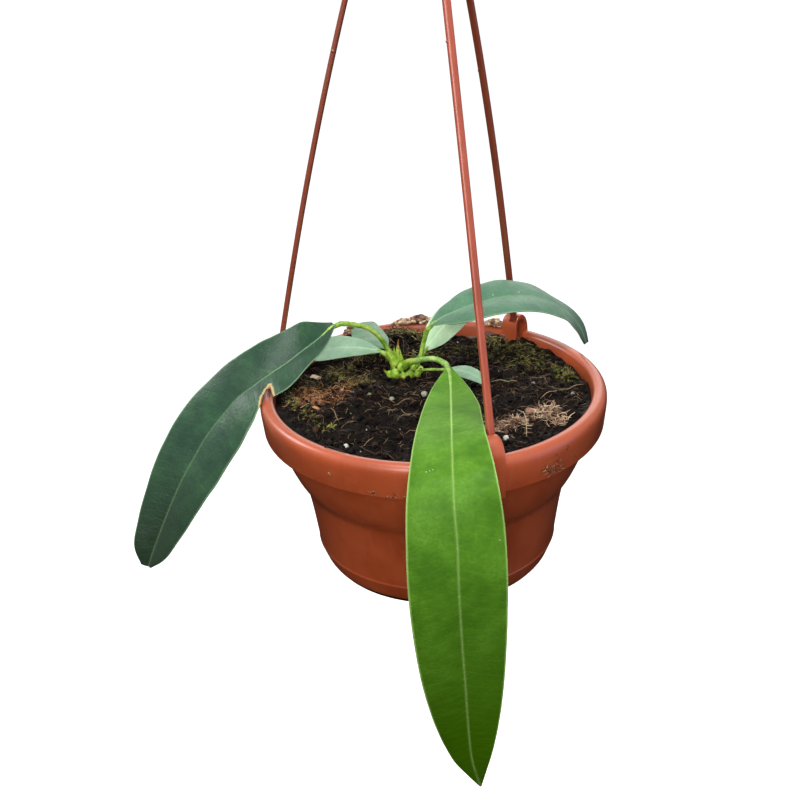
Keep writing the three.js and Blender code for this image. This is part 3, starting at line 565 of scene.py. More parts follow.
arched_face = leaf_skin(
    "arched_leaf_face", "#3c6a4c", "#4a785a", "#5a8866", "#86a878", "#1c3420", (88, 116), 0.3, 0.38, 0.5,
)
# Painted sheen: the lower leaves' pale grey-green stands for the sheen on them, over a darker green of their
# own
sheen_pale_lower_face = leaf_skin(
    "lower_leaf_face_painted_sheen", "#6f9374", "#88a88a", "#9dbb9c", "#a8c4a0", "#6f9374", (60, 100), 0.3, 0.42, 0.5,
)
# Painted sheen: the back left leaf's pale grey-green stands partly for the sheen on it
sheen_pale_back_left_face = leaf_skin(
    "back_left_leaf_face_painted_sheen", "#4c7253", "#5f8764", "#74997a", "#86a884", "#3c5c42", (60, 100), 0.15, 0.45, 0.5,
)
# The young leaf's pale green is partly its own young colour and partly painted sheen
young_pale_sheen_face = leaf_skin(
    "young_leaf_face_pale_and_painted_sheen", "#a8cc9c", "#bcdcb0", "#cce8c0", "#dcf0cc", "#a8cc9c", (40, 60), 0.3, 0.4, 0.5,
)
stem = green_stem("stem_green_waxy", "#578618", "#83a82a", "#b9cf5c", "#7a4d22")
front_stalk = green_stem("front_stalk_green_waxy", "#6a9434", "#90b458", "#bcd28a", "#6a5a2c")
dark_stalk = green_stem("stalk_green_waxy", "#568222", "#86aa3a", "#b6cc64", "#5d4a22")
sheath_skin = green_stem("sheath_green_browning", "#577f1c", "#86a52e", "#b8c658", "#8a5626")
backdrop = painted_backdrop("painted_backdrop")


# Pot: one moulding with its rim, skirt band, lugs, wall, foot ring and drain holes

# The pot's section as [radius, height, fillet], from under the floor over the rim to the floor's top
POT_OUTLINE = [
    [0, -106.5, 0], [4, -106.5, 0.4], [4.6, -107.3, 0.4], [6, -107.3, 0.4], [6.6, -106.5, 0.4],
    [57.6, -106.5, 1.2], [60.4, -POT_HEIGHT, 0.9], [65.2, -POT_HEIGHT, 1.2], [68.8, -105, 2.4],
    [72.4, -95.4, 0.5], [72.1, -94.3, 0.4], [75, -72, 12], [77, -61, 4], [78.6, -55.4, 2.2],
    [83.2, -48.5, 5.5], [88.6, -36, 7], [94.2, -18, 6], [94.2, -5, 0.6], [98, -5, 0.6],
    [98.2, -BAND_DEPTH, 0.25], [99.6, -BAND_DEPTH + 0.3, 0.4], [101, -6.2, 3.4], [100.5, -2.6, 2],
    [98.7, -0.5, 1.8], [96, 0, 1.6], [93, -1.3, 1.4], [91.9, -6, 2], [91, -20, 8], [86.7, -36, 8],
    [81.2, -48.5, 5], [76.6, -55.5, 3], [75.2, -61, 3], [70.2, -94, 6], [66.5, FLOOR_TOP, 3],
    [0, FLOOR_TOP, 0],
]
POT_SEGMENTS = 240
DRAIN_HOLES = 4
DRAIN_RADIUS = 4.0
DRAIN_RING = 38.0

# A lug's hood and the pocket inside it, as [distance out, height, fillet]
HOOD = [
    [92, -18, 0.5], [88, -12, 1.5], [87.4, -4, 2], [87.6, 4, 2], [88.6, 8, 1.8], [90.6, 10.4, 1.8],
    [93.6, 11.2, 2], [96.8, 10.4, 2], [99.8, 7.4, 2], [102, 2.6, 2], [102.6, -5, 4], [102.1, -22.4, 0.3],
    [97.6, -22.4, 0.3], [96.2, -19, 0.3],
]
POCKET = [
    [88.6, -15, 0.2], [88.6, 4, 1.2], [90.4, 8.2, 1.2], [96.4, 8.2, 1.4], [99.2, 4, 1.2], [99.2, -15, 0.2],
]


def at_lug(azimuth, along, out, z):
    angle = math.radians(azimuth)
    cos, sin = math.cos(angle), math.sin(angle)
    return Vector((out * cos - along * sin, out * sin + along * cos, z))


def lug_block(azimuth, outline, slices):
    """A block with an outline of (distance out, height), running along the rim at a lug."""
    rings = []
    for along, grow, shrink in slices:
        middle = sum((Vector(p) for p in outline), Vector((0.0, 0.0))) / len(outline)
        ring = []
        for out, z in outline:
            out = middle.x + (out - middle.x) * shrink
            z = z * grow if z > 0 else z
            ring.append(at_lug(azimuth, along, out, z))
        rings.append(ring)
    return skinned(rings)


def cut_tool(name, points, faces):
    shape = Shape()
    shape.add(points, faces)
    tool = object_of(name, shape, [pot_skin])
    face_outward(tool)
    return tool


def carve(made, tool, operation):
    """Joins a tool to a piece or cuts it out, and clears the tool away."""
    change = made.modifiers.new("carve", "BOOLEAN")
    change.operation = operation
    change.solver = "EXACT"
    change.object = tool
    settle(made)
    bpy.data.objects.remove(tool)


def lug_tools(rod):
    azimuth = rod["azimuth"]
    start = rod["lug"]
    end = start + LUG_LENGTH
    ring = filleted(HOOD + [HOOD[0]])[:-1]
    slices = [(start, 0.985, 0.985), (start + 0.4, 1.0, 1.0), (start + 4, 1.0, 1.0), (end - 3, 0.997, 1.0)]
    for step in range(1, 8):
        share = step / 7
        slices.append((end - 3 + 3 * share, 0.997 - 0.15 * share ** 2.4, 1.0 - 0.05 * share ** 4))
    hood = cut_tool("hood", *lug_block(azimuth, ring, slices))
    inside = filleted(POCKET + [POCKET[0]])[:-1]
    inner_end = end - LUG_END_WALL
    pocket_slices = [(start - 2, 1, 1), (inner_end - 0.5, 1, 1), (inner_end, 0.94, 0.96)]
    pocket = cut_tool("pocket", *lug_block(azimuth, inside, pocket_slices))
    half = ROD_HALF_DEEP + 0.4
    foot = rod["foot"]
    square = [(foot - half, 2), (foot - half, 14), (foot + half, 14), (foot + half, 2)]
    slot_end = ROD_HALF_WIDE + 0.35
    slot = cut_tool("slot", *lug_block(azimuth, square, [(-slot_end, 1, 1), (slot_end, 1, 1)]))
    return hood, pocket, slot


def drain_tool(step):
    angle = 2 * math.pi * (step + 0.5) / DRAIN_HOLES
    path = [Vector(around(DRAIN_RING, angle, z)) for z in (-110, -106.6, -103.9, -101)]
    radii = [DRAIN_RADIUS + 0.5, DRAIN_RADIUS, DRAIN_RADIUS, DRAIN_RADIUS + 0.5]
    return cut_tool("drain", *round_tube(path, radii, 40))


def make_pot():
    shape = Shape()
    shape.add(*turned(filleted(POT_OUTLINE), POT_SEGMENTS))
    pot = object_of("pot_moulding", shape, [pot_skin])
    face_outward(pot)
    tools = [lug_tools(rod) for rod in RODS.values()]
    for hood, pocket, slot in tools:
        carve(pot, hood, "UNION")
    for hood, pocket, slot in tools:
        carve(pot, pocket, "DIFFERENCE")
        carve(pot, slot, "DIFFERENCE")
    for step in range(DRAIN_HOLES):
        carve(pot, drain_tool(step), "DIFFERENCE")
    pot.data.polygons.foreach_set("use_smooth", [True] * len(pot.data.polygons))
    pot.data.set_sharp_from_angle(angle=math.radians(38))
    ride_as(pot, "pot_plastic", "pot")


# Hanger: three rods with their feet in the lugs, a hub that joins them and the hook above it

def rod_points(rod):
    azimuth, foot = rod["azimuth"], rod["foot"]
    start = at_lug(azimuth, 0, foot, ROD_BEND)
    apex = at_lug(azimuth, 0, ROD_APEX_RADIUS, ROD_APEX)
    apex.x += ROD_APEX_SHIFT
    outward = at_lug(azimuth, 0, rod["bow"], 0)
    top_share = (ROD_TOP - ROD_BEND) / (ROD_APEX - ROD_BEND)
    rows = [at_lug(azimuth, 0, foot, z) for z in (-6, -3, 1.5, 5.5)]
    for i in range(61):
        share = top_share * i / 60
        rows.append(start.lerp(apex, share) + outward * math.sin(math.pi * share))
    return rows


def make_rod(name, rod):
    azimuth, foot = rod["azimuth"], rod["foot"]
    path = rod_points(rod)
    count = len(path)
    wide = at_lug(azimuth, 1, 0, 0)
    deep = at_lug(azimuth, 0, 1, 0)
    thin = [0.72] + [1.0] * (count - 1)
    half_wide = [ROD_HALF_WIDE * s for s in thin]
    half_deep = [ROD_HALF_DEEP * s for s in thin]
    shape = Shape()
    shape.add(*swept(path, [wide] * count, [deep] * count, half_wide, half_deep))
    barb = filleted([
        [foot, -2.5, 0], [foot + 0.6, -1.6, 0.4], [foot + BARB, 5.4, 0.3], [foot + BARB, 7.8, 0.3],
        [foot, 7.8, 0],
    ], 3)
    shape.add(*lug_block(azimuth, barb, [(-1.55, 1, 1), (-1.4, 1, 1.02), (1.4, 1, 1.02), (1.55, 1, 1)]))
    nub_at = min(path, key=lambda p: abs(p.z - rod["nub"]))
    side = -wide if name == "front" else wide
    start = nub_at + side * (ROD_HALF_WIDE - 0.5)
    nub = [start, start + side * 0.55, start + side * 0.85, start + side * 0.95]
    shape.add(*round_tube(nub, [0.95, 0.9, 0.6, 0.2], 14))
    skin = rod_skins[name]
    made = piece("rod_" + name + "_moulding", shape, [skin], "hanger_plastic", "hanger_rod_" + name)
    made.data.set_sharp_from_angle(angle=math.radians(50))


# The hook's way up from the hub as (x, height), and the angles on its round at which it begins and ends
HOOK_START = [[0, HUB_TOP - 4], [-1.5, HUB_TOP + 1.5], [-9, HUB_TOP + 7]]
HOOK_BEGINS, HOOK_ENDS = 192, -40

HUB_OUTLINE = [
    [0, HUB_BOTTOM, 0], [3, HUB_BOTTOM, 0], [12.9, HUB_BOTTOM, 0.8], [14.4, HUB_BOTTOM + 1.5, 0.8],
    [14.4, HUB_BOTTOM + 9, 1.6], [12, HUB_BOTTOM + 13, 2], [6.5, HUB_TOP - 5, 3], [5, HUB_TOP, 0.8],
    [0, HUB_TOP, 0],
]


def make_hook():
    centre = HANG_HEIGHT - HOOK_RADIUS + HOOK_HALF_THICK
    rows = [[x, 0, z] for x, z in HOOK_START]
    for i in range(13):
        angle = math.radians(HOOK_BEGINS - (HOOK_BEGINS - HOOK_ENDS) * i / 12)
        rows.append([HOOK_RADIUS * math.cos(angle), 0, centre + HOOK_RADIUS * math.sin(angle)])
    count = 90
    path = smooth_path(rows, count)
    side = Vector((0, 1, 0))
    deep = []
    for i in range(count):
        ahead = (path[min(i + 1, count - 1)] - path[max(i - 1, 0)]).normalized()
        deep.append(ahead.cross(side))
    taper = [min(1.0, math.sqrt(max(0.04, (count - 0.4 - i) / 4))) for i in range(count)]
    half_wide = [HOOK_HALF_WIDE * s for s in taper]
    half_thick = [HOOK_HALF_THICK * 0.99 * s for s in taper]
    shape = Shape()
    shape.add(*swept(path, [side] * count, deep, half_wide, half_thick))
    shape.add(*turned(filleted(HUB_OUTLINE), 96))
    made = piece("hook_moulding", shape, [hook_skin], "hanger_plastic", "hanger_hook")
    made.data.set_sharp_from_angle(angle=math.radians(50))


# Leaves. A row of a blade is [x, y, z of the midrib, left width, right width, left lift, right lift];
# a lift is the angle in degrees by which that half rises from the level line through the midrib.

LEAVES = {
    "leaf_front": {
        "left": [1, 0, 0], "stalk_radius": 1.75,
        "stalk": [
            [-16, 28, 0], [-13, 22.5, 3.6], [-9.4, 18, 6.4], [-4.5, 14, 9], [0.5, 10.5, 10.8], [5, 7, 10.8],
            [8.4, 4.5, 9.4],
        ],
        "blade": [
            [10, 2, 8, 1.6, 1.6, 4, 6], [10.3, -14, 5.5, 8.6, 8.9, 0, 2], [10, -40, 6, 15, 14.6, 0, -2],
            [9.6, -62, 7.6, 16.3, 17.4, 2, -4], [9.4, -76, 8.6, 16.9, 18.8, 9, -4],
            [9.3, -83, 9, 17.3, 19.4, 12, -4], [9.1, -92, 9.2, 18.1, 20, 12, -4],
            [9, -104, 7.8, 19.5, 21, 10, -4], [8.8, -120, 3.5, 21.7, 22.3, 3, -4],
            [9, -129.5, -9, 24, 24, -8, -4], [10, -134, -26, 24.8, 25.4, -12, -2],
            [10.3, -136, -51, 25.4, 25.6, -12, 0], [11.3, -134, -83, 24.2, 24.6, -12, 4],
            [12.8, -130, -116, 21.6, 22.2, -13, 6], [14.2, -124, -150, 16.8, 17, -6, 2],
            [16.3, -118.5, -178, 10.2, 10.3, 0, -4], [21, -112, -203.5, 0.5, 0.5, 0, -4],
        ],
    },
    "leaf_left": {
        "left": [0, -1, 0], "stalk_radius": 1.6,
        "stalk": [
            [-20.5, 31, -2], [-23, 31, 2.5], [-25.7, 31, 7], [-28.8, 30, 14], [-33.8, 28, 21.4],
            [-40, 26, 26.2], [-47.6, 23, 29.2], [-53, 21.4, 30.4],
        ],
        "blade": [
            [-57, 20, 30.4, 1.8, 1.8, -20, 60], [-65.9, 12, 24.9, 8.2, 13, -24, 76],
            [-74.6, 6, 20.5, 12.3, 15.6, -25, 74], [-84.3, 1, 14.7, 15.4, 18.4, -25, 64],
            [-92.1, -2.5, 11, 18.3, 19.8, -25, 55], [-97.2, -4.5, 8.1, 17.2, 21, -26, 51],
            [-103.8, -7, 4.2, 15.6, 22, -26, 47], [-112.7, -9.5, -1.6, 21.5, 22.4, -32, 46],
            [-124, -12.2, -13.4, 23.8, 23.6, -41, 50], [-133, -15, -24, 23.4, 23.4, -48, 54],
            [-141, -18, -36, 22.4, 22.5, -52, 59], [-148, -21, -47, 21, 21, -53, 62],
            [-156, -24, -62, 18.2, 18.4, -55, 68], [-164, -27, -79, 14.2, 15.4, -55, 76],
            [-170.3, -29, -93, 9.6, 12, -54, 84], [-174, -30, -102.5, 2, 4.6, -54, 88],
        ],
    },
    "leaf_low_left": {
        "left": [0, -1, 0], "stalk_radius": 1.5,
        "stalk": [[-23, 35, -3], [-26, 36.5, 0.5], [-29, 38, 3.2]],
        "blade": [
            [-31, 38.6, 4.2, 1.4, 1.4, -10, 10], [-40, 40, 5.6, 6, 6, -14, 18],
            [-50, 41.6, 6.2, 9, 9, -16, 22], [-61, 42, 5.4, 10.4, 10.4, -16, 22],
            [-71, 40, 4, 9, 9, -14, 18], [-79, 36.5, 3.2, 5.4, 5.4, -8, 10],
            [-84.5, 33, 3.4, 0.6, 0.6, 0, 0],
        ],
    },
    "leaf_back_left": {
        "left": [-1, -0.4, 0], "stalk_radius": 1.6,
        "stalk": [[-20, 36.5, -4], [-23, 40, -0.6], [-26, 44, 1.8]],
        "blade": [
            [-28, 46, 2.8, 1.4, 1.4, 0, 0], [-32, 54, 4, 9, 6, -6, 0], [-36.5, 64, 4, 12.6, 8, -10, 0],
            [-41, 75, 3.4, 10.4, 9, -8, 0], [-45, 84.5, 3, 6.4, 9.6, -4, 0],
            [-48.5, 92, 0.8, 4.4, 10, -4, -2], [-51.5, 99, -5, 3.8, 10.4, -4, -4],
            [-54, 104.5, -13, 3.8, 10.2, -4, -4], [-56, 108, -24, 3.8, 9, -4, -4],
            [-57.3, 109.6, -37, 3.6, 6.6, 0, 0], [-58, 110, -49, 2.4, 3, 0, 0],
            [-58.3, 110, -56, 0.5, 0.5, 0, 0],
        ],
    },
    "leaf_back_right": {
        "left": [0, 1, 0], "stalk_radius": 1.5,
        "stalk": [[-11, 30.5, -6], [-9, 31, -1], [-6.5, 32, 4], [-4.3, 33, 13], [-2.2, 33, 19.8]],
        "blade": [
            [0, 32, 23.4, 1.6, 1.5, 18, -8], [8, 33, 28, 9.1, 8.9, 18, -10], [15, 33, 31, 13, 13, 17, -14],
            [24, 34, 34, 16.1, 16.1, 17, -12], [38, 36, 37, 18, 18, 16, -9], [48, 38, 37.6, 18, 18, 13, -9],
            [61, 40.5, 36, 16, 16, 8, -10], [73, 43, 31, 13, 13, 3, -11], [83, 46, 23.6, 9, 9, 4, -14],
            [91, 48, 13, 5, 4.6, 30, -36], [95.6, 49, 1.2, 1.8, 1.6, 60, -62],
        ],
    },
    "leaf_young": {
        "left": [-0.6, 0.6, 0.4], "stalk_radius": 1.4,
        "stalk": [[-12, 36.5, -6], [-8.5, 39, -3], [-5, 41.5, 0.6]],
        "blade": [
            [-3.4, 42.8, 2.6, 1.3, 1.3, 0, 0], [2, 46.6, 8.6, 7.6, 7.6, 6, 6],
            [8.4, 50.4, 15, 10, 10, 8, 8], [15.4, 54, 20.6, 10, 10, 8, 8],
            [23, 57.4, 25.4, 7.8, 7.8, 6, 6], [30, 60, 28.4, 4, 4, 4, 4], [35, 61.4, 30, 0.5, 0.5, 0, 0],
        ],
    },
    "leaf_small": {
        "left": [0.5, 0.8, 0], "stalk_radius": 0.9,
        "stalk": [[-9, 29, -5], [-4.2, 28, -4.2], [1.5, 24.5, -2.6], [7.2, 20, -0.8]],
        "blade": [
            [9.4, 18, 0, 1, 1, 20, -20], [13.8, 13.8, 1.4, 3.4, 3.4, 24, -24],
            [19.4, 9.6, 2.2, 4.4, 4.4, 26, -26], [25, 4.4, 1.8, 4, 4, 26, -26],
            [29.4, -0.6, 0.4, 2.4, 2.4, 22, -22], [32.2, -4.2, -1.2, 0.5, 0.5, 18, -18],
        ],
    },
}

# Each leaf's upper face, underside, margin and stalk
LEAF_FINISHES = {
    "leaf_front": (bright_face, bright_under, bright_edge, front_stalk),
    "leaf_left": (dark_face, dark_under, dark_edge, dark_stalk),
    "leaf_low_left": (sheen_pale_lower_face, dark_under, dark_edge, dark_stalk),
    "leaf_back_left": (sheen_pale_back_left_face, dark_under, dark_edge, dark_stalk),
    "leaf_back_right": (arched_face, dark_under, dark_edge, dark_stalk),
    "leaf_small": (sheen_pale_lower_face, dark_under, dark_edge, dark_stalk),
    "leaf_young": (young_pale_sheen_face, young_pale_sheen_face, young_pale_sheen_face, dark_stalk),
}
LEAF_SLOTS = {"leaf_front": "bright_leaf", "leaf_young": "pale_leaf"}

# The tear where the rim has caught the left leaf, in plan, and the heights it reaches
TEAR = [
    (-93.6, -11.8), (-97.4, -17), (-98.4, -23), (-98.6, -40), (-88.6, -40), (-90.2, -22), (-91.9, -16),
]
TEAR_LOW, TEAR_HIGH = -15.5, 12.5

BLADE_THICK = 0.7
BLADE_ARCH = 0.16
RIB_END = 0.8
RIB_SIDES = 8

# How long and how high the blade's ripples are towards its edge, and the pucker between its veins
RIPPLE_SIZE, RIPPLE_HEIGHT = 13, 0.55
PUCKER_SIZE, PUCKER_HEIGHT = 5.5, 0.16

# The step along the midrib and the number of columns in each half of a large and of a small blade
LARGE_GRID = (1.25, 20)
SMALL_GRID = (1.3, 12)


def blade_section(leaf, t):
    """The midrib's place, its upper normal, and each half's width, direction and own normal at share t."""
    rows = leaf["blade"]
    rib = [row[:3] for row in rows]
    middle = Vector(knot_value(rib, t))
    along = (Vector(knot_value(rib, t + 0.0005)) - Vector(knot_value(rib, t - 0.0005))).normalized()
    left = Vector(leaf["left"])
    across = (left - left.dot(along) * along).normalized()
    upper = along.cross(across)
    shape = knot_value([row[3:] for row in rows], t)
    halves = []
    for width, lift, sign in ((shape[0], shape[2], 1), (shape[1], shape[3], -1)):
        lift = math.radians(lift)
        out = across * (sign * math.cos(lift)) + upper * math.sin(lift)
        normal = upper * math.cos(lift) - across * (sign * math.sin(lift))
        halves.append((max(0.4, width), out, normal))
    normal = (halves[0][2] + halves[1][2]).normalized()
    return middle, normal, halves


def blade_shares(leaf, step):
    """Shares t at even steps in millimetres along the midrib, with the distance walked to each."""
    rib = [row[:3] for row in leaf["blade"]]
    fine = 600
    places = [Vector(knot_value(rib, i / fine)) for i in range(fine + 1)]
    walked = [0.0]
    for a, b in zip(places, places[1:]):
        walked.append(walked[-1] + (b - a).length)
    count = max(24, round(walked[-1] / step))
    shares = []
    k = 0
    for i in range(count + 1):
        goal = walked[-1] * i / count
        while k < fine - 1 and walked[k + 1] < goal:
            k += 1
        gap = walked[k + 1] - walked[k]
        shares.append(((k + (goal - walked[k]) / gap) / fine, goal))
    return shares


def distance_to_tear(x, y):
    """How far a place in plan is outside the tear, and the nearest place on the tear's outline."""
    inside = False
    nearest = None
    best = 1e9
    here = Vector((x, y))
    for (ax, ay), (bx, by) in zip(TEAR, TEAR[1:] + TEAR[:1]):
        if (ay > y) != (by > y) and x < ax + (bx - ax) * (y - ay) / (by - ay):
            inside = not inside
        start, line = Vector((ax, ay)), Vector((bx - ax, by - ay))
        share = min(max((here - start).dot(line) / line.length_squared, 0.0), 1.0)
        foot = start + line * share
        gap = (here - foot).length
        if gap < best:
            best, nearest = gap, foot
    return (-best if inside else best), nearest


def blade_grid(name, leaf, step, columns):
    """The blade's middle sheet: its points and their places on the lamina."""
    seed = Vector((sum(map(ord, name)) * 0.37, 1.7, 4.1))
    points, lamina = [], []
    for t, walked in blade_shares(leaf, step):
        middle, normal, halves = blade_section(leaf, t)
        for column in range(-columns, columns + 1):
            signed = math.sin(column / columns * math.pi / 2 * 0.86) / math.sin(math.pi / 2 * 0.86)
            width, out, own = halves[0 if signed < 0 else 1]
            share = abs(signed)
            facing = normal.lerp(own, ease(share, 0, 0.4)).normalized()
            place = middle + out * (share * width) + own * (BLADE_ARCH * width * share * (1 - share))
            ripple = noise.noise(Vector((walked / RIPPLE_SIZE, signed * 1.3, 0)) + seed)
            pucker = noise.noise(Vector((walked / PUCKER_SIZE, signed * width / PUCKER_SIZE, 3)) + seed)
            full = min(1.0, width / 10)
            waved = RIPPLE_HEIGHT * ripple * share ** 2 * full
            puckered = PUCKER_HEIGHT * pucker * min(1.0, share * 4) * (1 - share ** 6) * full
            points.append(place + facing * (waved + puckered))
            lamina.append((signed * width, walked, share))
    return points, lamina


def make_blade(name, leaf, step, columns):
    """A blade's middle sheet as a shape, with the left leaf's tear cut out and dried round its edge."""
    points, lamina = blade_grid(name, leaf, step, columns)
    tints = [0.0] * len(points)
    across = 2 * columns + 1
    drop = set()
    if name == "leaf_left":
        for i, place in enumerate(points):
            if lamina[i][0] >= 0 or not TEAR_LOW < place.z < TEAR_HIGH:
                continue
            gap, foot = distance_to_tear(place.x, place.y)
            fray = 0.5 * noise.noise(place * 0.7)
            tints[i] = 1 - ease(gap + fray, 0.0, 2.0)
            if gap < 0:
                drop.add(i)
        for i in drop:
            gap, foot = distance_to_tear(points[i].x, points[i].y)
            if gap > -2.2:
                fray = points[i] * 0.9
                frayed_x = foot.x + 0.45 * noise.noise(fray)
                frayed_y = foot.y + 0.45 * noise.noise(fray + Vector((0, 0, 50)))
                points[i] = Vector((frayed_x, frayed_y, points[i].z))
    faces = []
    rows = len(points) // across
    for row in range(rows - 1):
        for column in range(across - 1):
            a = row * across + column
            face = (a, a + 1, a + 1 + across, a + across)
            if not all(corner in drop for corner in face):
                faces.append(face)
    used = sorted({corner for face in faces for corner in face})
    number = {old: new for new, old in enumerate(used)}
    shape = Shape()
    shape.add(
        [tuple(points[i]) for i in used], [[number[c] for c in face] for face in faces],
        [tints[i] for i in used], 0, [lamina[i] for i in used],
    )
    return shape


def rib_radius(leaf, share):
    return leaf["stalk_radius"] * 0.85 * (1 - math.sqrt(share)) + 0.5 * math.sqrt(share)


def stalk_rows(leaf):
    """The stalk's path, which runs on under the blade as its midrib, and the radius along it."""
    stalk = smooth_path(leaf["stalk"], 4 * len(leaf["stalk"]))
    path = list(stalk)
    radii = []
    for i in range(len(stalk)):
        share = i / (len(stalk) - 1)
        swell = 0.22 * math.exp(-((share - 0.97) / 0.07) ** 2) + 0.3 * math.exp(-(share / 0.12) ** 2)
        radii.append(leaf["stalk_radius"] * (0.94 + swell * 0.6))
    steps = 48
    for i in range(1, steps + 1):
        share = i / steps
        middle, normal, halves = blade_section(leaf, share * RIB_END)
        radius = rib_radius(leaf, share)
        path.append(middle - normal * (radius * min(1.0, share * 6)))
        radii.append(radius)
    return path, radii


def rib_crest(leaf):
    """The midrib's slim raised line on the upper face."""
    path, radii, lamina = [], [], []
    steps = 90
    for i in range(steps + 1):
        share = i / steps * 0.97
        middle, normal, halves = blade_section(leaf, share)
        radius = 0.6 * (1 - share) ** 2.6 + 0.16
        path.append(middle + normal * (BLADE_THICK * 0.5 - radius * 0.4))
        radii.append(radius)
        walked = (path[-1] - path[-2]).length + lamina[-1][1] if lamina else 0.0
        paleness = 1.0 - 0.035 * ease(share, 0.05, 0.55)
        lamina += [(0.0, walked, paleness)] * RIB_SIDES
    return path, radii, lamina


def make_leaf(name, leaf):
    step, columns = LARGE_GRID if name in ("leaf_front", "leaf_left") else SMALL_GRID
    skins = LEAF_FINISHES[name]
    made = object_of(name + "_blade", make_blade(name, leaf, step, columns), skins)
    thick = made.modifiers.new("thick", "SOLIDIFY")
    thick.thickness = BLADE_THICK * MM
    thick.offset = 0.0
    thick.material_offset = 1
    thick.material_offset_rim = 2
    thick.use_even_offset = False
    thick.use_quality_normals = True
    settle(made)
    stalks = Shape()
    path, radii = stalk_rows(leaf)
    stalks.add(*round_tube(path, radii, 16), tint=0.2, skin=3)
    path, radii, lamina = rib_crest(leaf)
    stalks.add(*round_tube(path, radii, RIB_SIDES), tint=0.0, skin=0, lamina=lamina)
    stalk = object_of(name + "_stalk", stalks, skins)
    face_outward(stalk)
    whole = bmesh.new()
    whole.from_mesh(made.data)
    whole.from_mesh(stalk.data)
    whole.to_mesh(made.data)
    whole.free()
    bpy.data.objects.remove(stalk)
    made.data.polygons.foreach_set("use_smooth", [True] * len(made.data.polygons))
    ride_as(made, LEAF_SLOTS.get(name, "dark_leaf"), name)


# Crown: the short green stem with the feet of the stalks, its buds and its dry sheaths

# The stem's lumps, as middle and half sizes from the crown, and the feet of the stalks, each with its
# path and its first and last radius
CROWN_LUMPS = [
    ((-1.5, 0, -5), (5.8, 5.4, 4.6)), ((3, 3, -5), (5.4, 4, 3.6)), ((4.6, -2, -6), (4, 4, 3)),
]
CROWN_TUBES = [
    ([[-1, 1, -7], [1, -3, -1.6], [4, -8, 2.8], [8.6, -14, 6.4]], 2.9, 1.85),
    ([[-3, 0, -8], [-3.4, -1, -3], [-5.6, -1, 1.5], [-8.6, -1, 8]], 3.3, 1.9),
    ([[0, 0, -8], [-3.4, 2, -4.5], [-6, 4, -1], [-9, 5.4, 2.2]], 2.4, 1.6),
    ([[4, 0, -10], [7, -1.5, -6], [9, -1, -1], [11.5, 0, 4]], 2.3, 1.55),
    ([[4, 2, -9], [6, 4.5, -6], [9.5, 7, -3], [13, 9.5, 0.6]], 2.1, 1.45),
    ([[0, 2, -8], [-2, 4.5, -4], [-5, 8, -0.6], [-8, 12, 1.8]], 2.2, 1.6),
]
# Buds and old leaf bases crowded round the stem: foot, tip and thickness of each, from the crown
BUDS = [
    ((-6.4, -3, -9), (-8, -5, -3.6), 2.3), ((-3.6, -4.6, -9), (-4.8, -6.6, -1.6), 2.7),
    ((0.2, -4.6, -9), (0.8, -7.4, -4.4), 2.6), ((3.6, -4.2, -9), (5, -7, -2.6), 2.6),
    ((7, -3.4, -9), (9.6, -5.6, -4.6), 2.5), ((8.2, -0.8, -7), (12.2, -2.4, -2.6), 2.3),
    ((4, -2.4, -5), (7.4, -3.8, -0.2), 2.4), ((-0.6, -3, -5), (-1, -5.4, 1.4), 2.2),
    ((6, 1.4, -6), (10, 1.8, -1.2), 2.3), ((-4.6, -1.4, -4), (-6.2, -2.4, 4.6), 1.9),
]
# The sheaths' paths and radii, and how brown the tip of each has gone
SHEATHS = [
    {"rows": [[-1.4, 0.4, -2], [-2.4, 0.2, 4], [-2.2, 1.0, 9], [-1.8, 1.8, 14]], "radius": 2.0, "brown": 0.8},
    {"rows": [[-3, 0.4, -1], [-4.4, 0.6, 4], [-4.6, 1.2, 9.4]], "radius": 1.7, "brown": 0.3},
    {"rows": [[-0.4, 0, -2], [-0.6, -0.4, 3], [-1, 0.4, 8]], "radius": 1.9, "brown": 0.1},
    {"rows": [[-5, -2.4, -3], [-6.4, -3.2, 1], [-6.6, -3.4, 5]], "radius": 1.6, "brown": 0.2},
    {"rows": [[7, -3, -6], [9.6, -4.6, -4], [12, -5.8, -2]], "radius": 1.3, "brown": 0.5},
    {"rows": [[-8, -3, -8], [-10.4, -5, -4], [-11.2, -5.8, -1.6]], "radius": 1.1, "brown": 0.7},
]
# The grid on which the stem's parts are merged
CROWN_VOXEL = 0.4


def ball(subdivisions):
    """Points and faces of a unit ball."""
    work = bmesh.new()
    bmesh.ops.create_icosphere(work, subdivisions=subdivisions, radius=1.0)
    points = [v.co.copy() for v in work.verts]
    faces = [tuple(v.index for v in face.verts) for face in work.faces]
    work.free()
    return points, faces


def crevices(mesh):
    """How deep each point of a mesh lies between its neighbours: 0 on a bulge, 1 in a crevice."""
    start = [v.co.copy() for v in mesh.vertices]
    links = [[] for v in mesh.vertices]
    for edge in mesh.edges:
        a, b = edge.vertices
        links[a].append(b)
        links[b].append(a)
    level = start
    for i in range(10):
        level = [sum((level[k] for k in near), Vector()) / len(near) for near in links]
    depths = []
    for v in mesh.vertices:
        depths.append(ease((level[v.index] - start[v.index]).dot(v.normal) / MM, 0.0, 0.2))
    return depths


